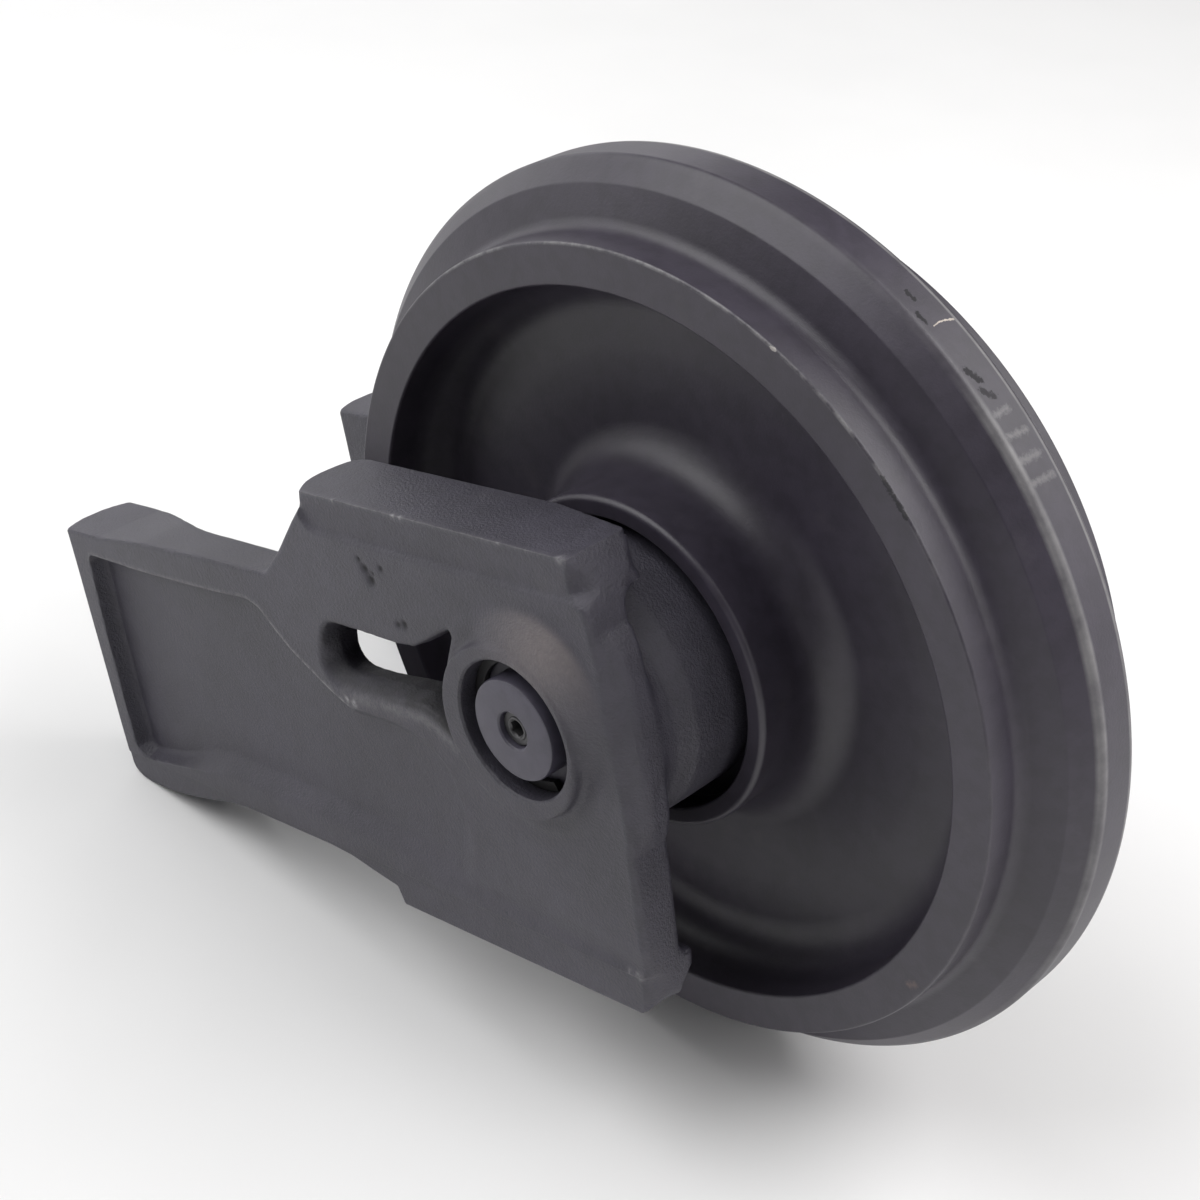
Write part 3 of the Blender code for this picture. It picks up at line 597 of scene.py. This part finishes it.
# ---- wheel ----------------------------------------------------------------
def wheel_profile():
    """(radius, w) from the flange over one side to the bush bore."""
    corners = [
        (195.0, 0.0, 0.0), (195.0, 8.46, 3.0), (186.5, 18.0, 1.5), (170.4, 23.77, 6.5), (170.4, 40.6, 1.0),
        (153.3, 40.6, 1.1), (151.6, 10.6, 18.0), (118.0, 11.1, 60.0), (71.2, 10.6, 17.6), (72.0, 48.0, 2.6),
        (63.6, 48.0, 1.0), (64.0, 35.5, 0.0), (50.0, 35.5, 0.0), (50.0, 24.5, 0.0), (35.2, 24.5, 0.0),
        (35.2, 3.5, 0.0), (39.0, 3.5, 0.0), (39.0, 0.0, 0.0),
    ]
    return eased([c[:2] for c in corners], [c[2] for c in corners])


side_profile = dense(wheel_profile(), 9.0)
whole = side_profile[:-1] + [(r, -w) for r, w in reversed(side_profile)][0:-1]
wheel = turned("idler_wheel_casting", whole, 320, -1, closed=True, angle=30.0)
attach(wheel, "wheel")
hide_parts("idler_wheel")

# ---- shaft, plug, retaining rings ----------------------------------------
shaft_profile = dense(
    [
        (0.0, 91.0), (5.3, 92.0), (5.3, 103.8), (7.8, 103.8), (7.8, 109.2), (8.5, 109.8),
        (20.1, 109.8), (21.2, 109.45), (21.6, 108.4), (21.6, 98.0), (28.3, 98.0), (29.2, 97.0), (29.2, 62.0), (26.4, 62.0),
        (26.4, 58.0), (29.2, 58.0), (29.2, -58.0), (26.4, -58.0), (26.4, -62.0), (29.2, -62.0), (29.2, -97.0),
        (28.3, -98.0), (21.6, -98.0), (21.6, -108.4), (21.2, -109.45), (20.1, -109.8), (0.0, -109.8),
    ],
    12.0,
)
shaft = turned("axle_shaft_turned", shaft_profile, 128, -1, closed=False, angle=30.0)
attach(shaft, "frame")
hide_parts("axle_shaft")


def plug_field(x, w, z):
    r = np.hypot(x, z)
    head = meet_round(r - 7.4, np.abs(w - 106.5) - 0.7, 0.35)
    body = meet_round(r - 5.0, np.abs(w - 101.5) - 6.2, 0.5)
    shape = np.minimum(head, body)
    hexagon = np.maximum(
        np.abs(x) * 0.5 + np.abs(z) * 0.8660254, np.abs(x)
    ) - 3.2
    socket = np.maximum(hexagon, 102.6 - w)
    cone = (r - 3.5 - (w - 107.2)) * 0.7071
    return np.maximum(np.maximum(shape, -socket), -np.maximum(cone, 106.0 - w))


plug_points, plug_quads = contour(plug_field, (-8.2, 94.6, -8.2), (8.2, 108.2, 8.2), 0.32)
plug = mesh_of("oil_plug_turned", place_level(plug_points, -1), plug_quads[:, ::-1], 35.0)
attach(plug, "frame")
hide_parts("oil_plug")


def ring_field(x, w, z):
    r = np.hypot(x, z)
    tilt = math.radians(-62.0)
    along = x * math.cos(tilt) + z * math.sin(tilt)
    across = -x * math.sin(tilt) + z * math.cos(tilt)
    ring = meet_round(np.abs(r - 28.4) - 2.8, np.abs(w - 99.775) - 1.42, 0.35)
    return np.maximum(ring, -np.maximum(np.abs(across) - 4.5, -along))


ring_points, ring_quads = contour(ring_field, (-32.5, 97.4, -32.5), (32.5, 102.2, 32.5), 0.6)
for side, hand in ((-1, "left"), (1, "right")):
    quads = ring_quads if side > 0 else ring_quads[:, ::-1]
    obj = mesh_of(f"{hand}_retaining_ring_wire", place_level(ring_points, side), quads, 35.0)
    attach(obj, "frame")
    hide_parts(f"{hand}_retaining_ring")


# ---- materials ------------------------------------------------------------
class Nodes:
    """Small helper for building a material's node tree."""

    def __init__(self, name):
        self.mat = bpy.data.materials.new(name)
        self.mat.use_nodes = True
        self.tree = self.mat.node_tree
        self.shader = self.tree.nodes["Principled BSDF"]

    def add(self, kind, **inputs):
        node = self.tree.nodes.new(kind)
        for key, value in inputs.items():
            self.put(node.inputs[key.replace("_", " ")], value)
        return node

    def put(self, socket, value):
        if isinstance(value, bpy.types.NodeSocket):
            self.tree.links.new(value, socket)
        else:
            socket.default_value = value

    def math(self, operation, a, b=0.0, c=None, clamp=False):
        node = self.tree.nodes.new("ShaderNodeMath")
        node.operation = operation
        node.use_clamp = clamp
        self.put(node.inputs[0], a)
        self.put(node.inputs[1], b)
        if c is not None:
            self.put(node.inputs[2], c)
        return node.outputs[0]

    def noise(self, vector, scale, detail=4.0, rough=0.55, lac=2.0):
        node = self.add("ShaderNodeTexNoise", Scale=scale, Detail=detail, Roughness=rough, Lacunarity=lac)
        self.put(node.inputs["Vector"], vector)
        return node.outputs["Fac"]

    def steps(self, value, stops, smooth=True):
        node = self.tree.nodes.new("ShaderNodeValToRGB")
        node.color_ramp.interpolation = "EASE" if smooth else "LINEAR"
        ramp_ = node.color_ramp
        while len(ramp_.elements) > 1:
            ramp_.elements.remove(ramp_.elements[-1])
        first = True
        for place, colour in stops:
            element = ramp_.elements[0] if first else ramp_.elements.new(place)
            element.position = place
            element.color = colour if len(colour) == 4 else (*colour, 1.0)
            first = False
        self.put(node.inputs[0], value)
        return node.outputs[0]

    def mix(self, factor, a, b, kind="MIX"):
        node = self.tree.nodes.new("ShaderNodeMix")
        node.data_type = "RGBA"
        node.blend_type = kind
        self.put(node.inputs[0], factor)
        self.put(node.inputs[6], a)
        self.put(node.inputs[7], b)
        return node.outputs[2]

    def range(self, value, a, b, c, d):
        node = self.add("ShaderNodeMapRange")
        node.clamp = True
        for i, v in enumerate((value, a, b, c, d)):
            self.put(node.inputs[i], v)
        return node.outputs[0]

    def bump(self, height, strength, distance, normal=None):
        node = self.add("ShaderNodeBump", Strength=strength, Distance=distance, Height=height)
        if normal is not None:
            self.put(node.inputs["Normal"], normal)
        return node.outputs[0]

    def edge(self, radius):
        """0 on flat surface, rising to 1 on convex and concave edges."""
        bevel = self.add("ShaderNodeBevel", Radius=radius)
        bevel.samples = 6
        geometry = self.tree.nodes.new("ShaderNodeNewGeometry")
        dot = self.tree.nodes.new("ShaderNodeVectorMath")
        dot.operation = "DOT_PRODUCT"
        self.put(dot.inputs[0], bevel.outputs[0])
        self.put(dot.inputs[1], geometry.outputs["Normal"])
        return self.math("SUBTRACT", 1.0, dot.outputs["Value"], clamp=True), bevel.outputs[0]


def layer_value(n, name):
    node = n.tree.nodes.new("ShaderNodeAttribute")
    node.attribute_name = name
    return node.outputs["Fac"]


def stroke(n, at, start, end, width, ragged, soft):
    """1 inside a short stroke between two level-frame points (x, w, z in mm) of the left side, 0 outside, with a ragged edge."""
    a, b = (TO_ROW @ (Vector((p[0], -p[1], p[2])) * MM) for p in (start, end))
    run = b - a

    def vector(operation, first, second=None):
        node = n.tree.nodes.new("ShaderNodeVectorMath")
        node.operation = operation
        n.put(node.inputs[0], first)
        if second is not None:
            n.put(node.inputs[3 if operation == "SCALE" else 1], second)
        return node.outputs["Value" if operation in ("DOT_PRODUCT", "LENGTH") else "Vector"]

    off = vector("SUBTRACT", at, a)
    share = n.math("MULTIPLY", vector("DOT_PRODUCT", off, run), 1.0 / max(run.length_squared, 1e-12), clamp=True)
    along = n.tree.nodes.new("ShaderNodeVectorMath")
    along.operation = "SCALE"
    along.inputs[0].default_value = run
    n.put(along.inputs["Scale"], share)
    gap = vector("LENGTH", vector("SUBTRACT", off, along.outputs["Vector"]))
    gap = n.math("ADD", gap, n.math("MULTIPLY", ragged, width * MM * 4.5))
    return n.range(gap, width * MM * (1.0 + soft), width * MM * max(0.0, 1.0 - soft), 0.0, 1.0)


def object_coordinates(n):
    return n.tree.nodes.new("ShaderNodeTexCoord").outputs["Object"]


def grey(v, warm=0.0):
    return (v * (1.04 + warm), v, v * (1.18 - warm), 1.0)


# handling marks on the wheel, and light bars that are part wear and part painted reflection: start, end (x, w, z in
# mm), width, colour, strength
MARKS = (
    ((123.9, 1.5, 150.6), (127.0, 1.4, 148.0), 0.9, (0.010, 0.010, 0.011, 1.0), 0.8),
    ((130.8, 5.2, 144.6), (133.9, 5.3, 141.8), 0.9, (0.010, 0.010, 0.011, 1.0), 0.8),
    ((135.8, 3.2, 139.9), (135.5, 0.0, 140.2), 0.28, (0.52, 0.46, 0.40, 1.0), 0.75),
    ((135.5, 0.0, 140.2), (135.9, -3.3, 139.9), 0.4, (0.52, 0.46, 0.40, 1.0), 0.85),
    ((135.9, -3.3, 139.9), (136.5, -6.3, 139.3), 0.36, (0.52, 0.46, 0.40, 1.0), 0.8),
    ((148.9, 4.6, 125.9), (151.9, 2.4, 122.3), 1.3, (0.010, 0.010, 0.011, 1.0), 0.75),
    ((154.2, 4.4, 119.3), (156.3, 0.9, 116.6), 1.2, (0.010, 0.010, 0.011, 1.0), 0.6),
    # light bars across the flange side, part wear and part painted reflection
    ((159.8, 5.2, 111.8), (159.7, -1.6, 111.8), 1.0, (0.17, 0.165, 0.17, 1.0), 0.6),
    ((164.6, 5.1, 104.6), (164.8, -3.6, 104.2), 1.0, (0.17, 0.165, 0.17, 1.0), 0.6),
    ((169.2, 5.9, 96.9), (169.4, -2.9, 96.5), 1.1, (0.17, 0.165, 0.17, 1.0), 0.6),
    ((173.3, 6.0, 89.3), (173.4, -4.8, 89.1), 1.0, (0.17, 0.165, 0.17, 1.0), 0.6),
    ((137.3, 40.6, 99.5), (146.1, 40.6, 86.1), 0.9, (0.010, 0.010, 0.011, 1.0), 0.7),
    ((94.9, 40.6, 140.9), (96.9, 40.6, 139.6), 0.6, (0.62, 0.58, 0.54, 1.0), 0.5),
    ((121.6, 40.6, -111.9), (123.6, 40.6, -111.0), 1.2, (0.150, 0.100, 0.092, 1.0), 0.55),
)


def wheel_marks_and_highlights(n, at, colour):
    """Painted highlights along the flange edges, with some rubbing there, a painted highlight on the rim's corner,
    light bars that are part wear and part painted reflection, and the scratches and smudges of handling.
    """
    ragged = n.math("SUBTRACT", n.noise(at, 620.0, 4.0, 0.7), 0.5)
    split = n.add("ShaderNodeSeparateXYZ")
    n.put(split.inputs[0], at)
    dx = n.math("SUBTRACT", split.outputs[0], AXLE.x)
    dz = n.math("SUBTRACT", split.outputs[2], AXLE.z)
    r = n.math("SQRT", n.math("ADD", n.math("MULTIPLY", dx, dx), n.math("MULTIPLY", dz, dz)))
    # painted highlight with some rubbing along the flange edges: broad on the plug's side below its front quarter, thin
    # on the other edge
    height = n.math("DIVIDE", dz, 0.195)
    y = split.outputs[1]
    near = n.math("MULTIPLY", n.range(y, -0.0060, -0.0074, 0.0, 1.0), n.range(height, 0.82, 0.72, 0.12, 1.0))
    near = n.math("MULTIPLY", near, n.range(dx, 0.0, 0.10, 0.3, 1.0))
    near = n.math("MULTIPLY", near, n.range(height, -0.45, 0.20, 0.35, 1.0))
    far = n.math("MULTIPLY", n.range(y, 0.0066, 0.0071, 0.0, 1.0), n.range(y, 0.0083, 0.0078, 0.0, 1.0))
    rubbed_and_highlit_edge = n.math("MULTIPLY", n.range(r, 0.1925, 0.1936, 0.0, 1.0), n.math("MAXIMUM", near, far))
    rubbed_and_highlit_edge = n.math("MULTIPLY", rubbed_and_highlit_edge, n.range(n.noise(at, 60.0, 4.0, 0.6), 0.35, 0.62, 0.45, 0.95))
    colour = n.mix(rubbed_and_highlit_edge, colour, (0.19, 0.185, 0.19, 1.0))
    # and a painted highlight along the outer corner of the rim on the plug's side, above the axle
    corner = n.math("MULTIPLY", n.range(r, 0.1689, 0.1698, 0.0, 1.0), n.range(y, -0.0397, -0.0402, 0.0, 1.0))
    corner = n.math("MULTIPLY", corner, n.range(height, 0.50, 0.72, 0.12, 1.0))
    corner = n.math("MULTIPLY", corner, n.range(n.noise(at, 90.0, 5.0, 0.7), 0.42, 0.62, 0.10, 0.75))
    colour = n.mix(corner, colour, (0.24, 0.235, 0.24, 1.0))
    dull = 0.0
    for start, end, width, paint_, much in MARKS:
        soft = paint_[0] > 0.1 and paint_[0] < 0.3
        here = n.math("MULTIPLY", stroke(n, at, start, end, width, ragged, 0.9 if soft else 0.25), much)
        colour = n.mix(here, colour, paint_)
        if paint_[0] < 0.1:
            dull = n.math("MAXIMUM", dull, here)
    return colour, dull


def paint(name, base, rough, grain, grain_size, pits, edge_size, edge_light, spec=0.5, tint=(1.0, 1.0, 1.0, 1.0)):
    """Thin satin black paint over metal, with skin texture, edges lightened as paint worn off and as a painted edge
    highlight, and a little dust.
    """
    n = Nodes(name)
    at = object_coordinates(n)
    cloud = n.noise(at, 9.0, 2.0)
    fine = n.noise(at, 120.0, 5.0, 0.6)
    low, high = (tuple(a * b for a, b in zip(grey(base * k), tint)) for k in (0.86, 1.14))
    tone = n.steps(cloud, [(0.30, low), (0.70, high)])
    speckle = n.steps(fine, [(0.35, grey(0.90)), (0.62, grey(1.10))])
    colour = n.mix(1.0, tone, speckle, "MULTIPLY")
    dull = None
    edge, soft_normal = n.edge(edge_size)
    patch = n.noise(at, 60.0, 4.0, 0.65)
    # edges lightened: paint worn off, and a painted edge highlight
    worn_and_highlit_edge = n.math("MULTIPLY", n.range(edge, 0.04, 0.22, 0.0, 1.0), n.range(patch, 0.40, 0.60, 0.25, 1.0))
    colour = n.mix(n.math("MULTIPLY", worn_and_highlit_edge, edge_light), colour, (0.30, 0.29, 0.29, 1.0))
    if name.startswith("cast"):
        grit = n.noise(at, 420.0, 4.0, 0.7)
        # the bare layer: chipped paint, and painted highlights along the pocket border, slot lip and pad edge
        bare_and_highlight_part = n.math("MULTIPLY", layer_value(n, "bare"), n.range(grit, 0.38, 0.56, 0.15, 1.0))
        # painted highlight on the dome, in a warm lighter colour
        colour = n.mix(n.math("MULTIPLY", layer_value(n, "dome_highlight"), n.range(grit, 0.30, 0.66, 0.58, 0.82)), colour, (0.185, 0.160, 0.160, 1.0))
        wet = n.math("MULTIPLY", layer_value(n, "oil"), n.range(n.noise(at, 150.0, 4.0, 0.6), 0.35, 0.60, 0.55, 1.0))
        colour = n.mix(wet, colour, (0.007, 0.0065, 0.007, 1.0))
        colour = n.mix(bare_and_highlight_part, colour, (0.42, 0.41, 0.42, 1.0))
        dull = n.math("SUBTRACT", n.math("MULTIPLY", layer_value(n, "hole"), 0.9), n.math("MULTIPLY", wet, -0.45))
        # painted shade: the casting holes coloured near black
        colour = n.mix(layer_value(n, "hole"), colour, (0.006, 0.006, 0.006, 1.0))
    if name.startswith("wheel"):
        colour, dull = wheel_marks_and_highlights(n, at, colour)
    dust = n.range(n.noise(at, 26.0, 5.0, 0.7), 0.60, 0.78, 0.0, 0.10)
    colour = n.mix(dust, colour, (0.20, 0.19, 0.18, 1.0))
    n.put(n.shader.inputs["Base Color"], colour)
    smudge = n.noise(at, 14.0, 4.0, 0.6)
    roughness = n.math("ADD", n.range(smudge, 0.30, 0.72, rough - 0.025, rough + 0.035), n.math("MULTIPLY", fine, 0.05))
    if dull is not None:
        roughness = n.math("ADD", roughness, n.math("MULTIPLY", dull, 0.5), clamp=True)
    n.put(n.shader.inputs["Roughness"], roughness)
    n.shader.inputs["Metallic"].default_value = 0.0
    n.shader.inputs["Specular IOR Level"].default_value = spec
    lumps = n.noise(at, 1000.0 / grain_size, 5.0, 0.62)
    wide = n.noise(at, 1000.0 / (grain_size * 5.0), 3.0, 0.5)
    normal = n.bump(wide, 0.10, grain, soft_normal)
    normal = n.bump(lumps, 0.9, grain * 2.2, normal)
    if pits:
        cells = n.add("ShaderNodeTexVoronoi", Scale=95.0, Randomness=1.0)
        n.put(cells.inputs["Vector"], at)
        where = n.noise(at, 11.0, 2.0)
        pit = n.math(
            "MULTIPLY",
            n.range(cells.outputs["Distance"], 0.04, 0.16, 1.0, 0.0),
            n.range(where, 0.60, 0.68, 0.0, 1.0),
        )
        normal = n.bump(n.math("MULTIPLY", pit, -1.0), 0.8, 0.0006, normal)
    n.put(n.shader.inputs["Normal"], normal)
    return n


cast = paint("cast_paint_skin", 0.038, 0.44, 0.00030, 1.3, True, 0.0008, 0.45, 0.62)
wheel_skin = paint("wheel_paint_skin", 0.0305, 0.39, 0.00004, 1.2, False, 0.0007, 0.45, 0.56, (1.08, 1.0, 1.04, 1.0))
shaft_skin = paint("shaft_paint_skin", 0.062, 0.40, 0.00003, 1.0, False, 0.0004, 0.5)


def bare(name, base, rough, metallic, grain=0.00002, size=0.8):
    n = Nodes(name)
    at = object_coordinates(n)
    cloud = n.noise(at, 40.0, 4.0, 0.6)
    low = tuple(v * 0.8 for v in base) + (1.0,)
    high = tuple(min(1.0, v * 1.15) for v in base) + (1.0,)
    n.put(n.shader.inputs["Base Color"], n.steps(cloud, [(0.3, low), (0.7, high)]))
    n.put(n.shader.inputs["Roughness"], n.range(n.noise(at, 70.0, 4.0), 0.3, 0.7, rough - 0.06, rough + 0.08))
    n.shader.inputs["Metallic"].default_value = metallic
    n.put(n.shader.inputs["Normal"], n.bump(n.noise(at, 1000.0 / size, 4.0), 0.5, grain))
    return n


bronze = bare("bronze_turned", (0.55, 0.36, 0.17), 0.32, 1.0)
iron = bare("seal_iron_lapped", (0.42, 0.42, 0.43), 0.22, 1.0)
rubber = bare("rubber_ring", (0.018, 0.018, 0.019), 0.70, 0.0, 0.00004)
spring = bare("spring_steel_oiled", (0.022, 0.021, 0.023), 0.50, 0.2)
plug_mat = bare("plug_steel_painted", (0.060, 0.059, 0.062), 0.40, 0.2)


def dress(obj, n):
    obj.data.materials.clear()
    obj.data.materials.append(n.mat)


for obj in brackets.values():
    dress(obj, cast)
dress(wheel, wheel_skin)
dress(shaft, shaft_skin)
dress(plug, plug_mat)
for hand in ("left", "right"):
    dress(bpy.data.objects[f"{hand}_retaining_ring_wire"], spring)
for name, obj in frame["nodes"].items():
    if name.endswith("bush"):
        dress(obj, bronze)
    elif "seal_ring" in name:
        dress(obj, iron)
    elif "toric" in name or "o_ring" in name or name == "oil_plug_seal":
        dress(obj, rubber)

# ---- stage ----------------------------------------------------------------
floor_mesh = bpy.data.meshes.new("floor")
reach = 12.0
floor_mesh.from_pydata(
    [(-reach, -reach, 0.0), (reach, -reach, 0.0), (reach, reach, 0.0), (-reach, reach, 0.0)], [], [(0, 1, 2, 3)]
)
floor = bpy.data.objects.new("floor", floor_mesh)
bpy.context.scene.collection.objects.link(floor)
pale = Nodes("pale_floor")
pale.put(
    pale.shader.inputs["Base Color"],
    pale.steps(pale.noise(object_coordinates(pale), 3.0, 3.0), [(0.3, (0.84, 0.84, 0.84)), (0.7, (0.87, 0.87, 0.87))]),
)
pale.shader.inputs["Roughness"].default_value = 0.9
pale.shader.inputs["Specular IOR Level"].default_value = 0.1
floor.data.materials.append(pale.mat)

world = bpy.data.worlds.new("studio")
bpy.context.scene.world = world
world.use_nodes = True
world.node_tree.nodes["Background"].inputs["Color"].default_value = (1.0, 1.0, 1.0, 1.0)
world.node_tree.nodes["Background"].inputs["Strength"].default_value = 0.10


def lamp(name, at, aim, size, power, colour=(1.0, 1.0, 1.0)):
    data = bpy.data.lights.new(name, "AREA")
    data.shape = "RECTANGLE"
    data.size, data.size_y = size
    data.energy = power
    data.color = colour
    obj = bpy.data.objects.new(name, data)
    obj.location = at
    obj.rotation_euler = (Vector(at) - Vector(aim)).to_track_quat("Z", "Y").to_euler()
    bpy.context.scene.collection.objects.link(obj)
    obj.visible_camera = False
    return obj


centre = Vector((0.02, 0.0, 0.18))


def from_side(az, el, distance):
    az, el = math.radians(az), math.radians(el)
    return centre + distance * Vector((math.sin(az) * math.cos(el), -math.cos(az) * math.cos(el), math.sin(el)))


for name, az, el, size, power, colour in (
    ("upper_left", -47.0, 60.0, (2.1, 1.8), 36.0, (1.0, 1.0, 1.0)),
    ("upper_right", 122.0, 50.0, (1.7, 1.6), 34.5, (1.0, 0.985, 0.98)),
    ("low_right", 128.0, 15.0, (1.9, 1.0), 10.2, (1.0, 0.985, 0.98)),
    ("front_right", 84.0, 24.0, (1.2, 1.2), 4.5, (1.0, 0.99, 0.985)),
    ("far_right", 158.0, 42.0, (1.2, 1.2), 6.5, (1.0, 0.985, 0.98)),
    ("left", -97.0, 15.0, (1.2, 1.2), 6.5, (1.0, 1.0, 1.0)),
    ("rear_left", -132.0, 17.0, (1.2, 1.0), 4.5, (1.0, 1.0, 1.0)),
    ("front_left", -55.0, 20.0, (1.3, 1.2), 9.2, (1.0, 1.0, 1.0)),
):
    lamp(name, from_side(az, el, 2.2), centre, size, power, colour)

# ---- camera ---------------------------------------------------------------
AZ, EL, ROLL = math.radians(49.934), math.radians(23.838), math.radians(-10.334)
back = Vector((math.sin(AZ) * math.cos(EL), -math.cos(AZ) * math.cos(EL), math.sin(EL)))
flat = Vector((math.cos(AZ), math.sin(AZ), 0.0))
upward = back.cross(flat)
right = flat * math.cos(ROLL) + upward * math.sin(ROLL)
up = -flat * math.sin(ROLL) + upward * math.cos(ROLL)
level = Matrix((right, up, back)).transposed().to_4x4()
level.translation = Vector((0.5750, -0.5390, 0.3635))
cam_data = bpy.data.cameras.new("camera")
cam_data.sensor_width = 36.0
cam_data.sensor_fit = "HORIZONTAL"
cam_data.lens = 36.0 * 2115.5 / 1200.0
cam_data.clip_start, cam_data.clip_end = 0.02, 60.0
camera = bpy.data.objects.new("camera", cam_data)
camera.matrix_world = TO_ROW @ level
bpy.context.scene.collection.objects.link(camera)
bpy.context.scene.camera = camera

scene = bpy.context.scene
scene.view_settings.view_transform = "Standard"
scene.view_settings.look = "None"
scene.view_settings.exposure = 0.0
scene.view_settings.gamma = 1.0
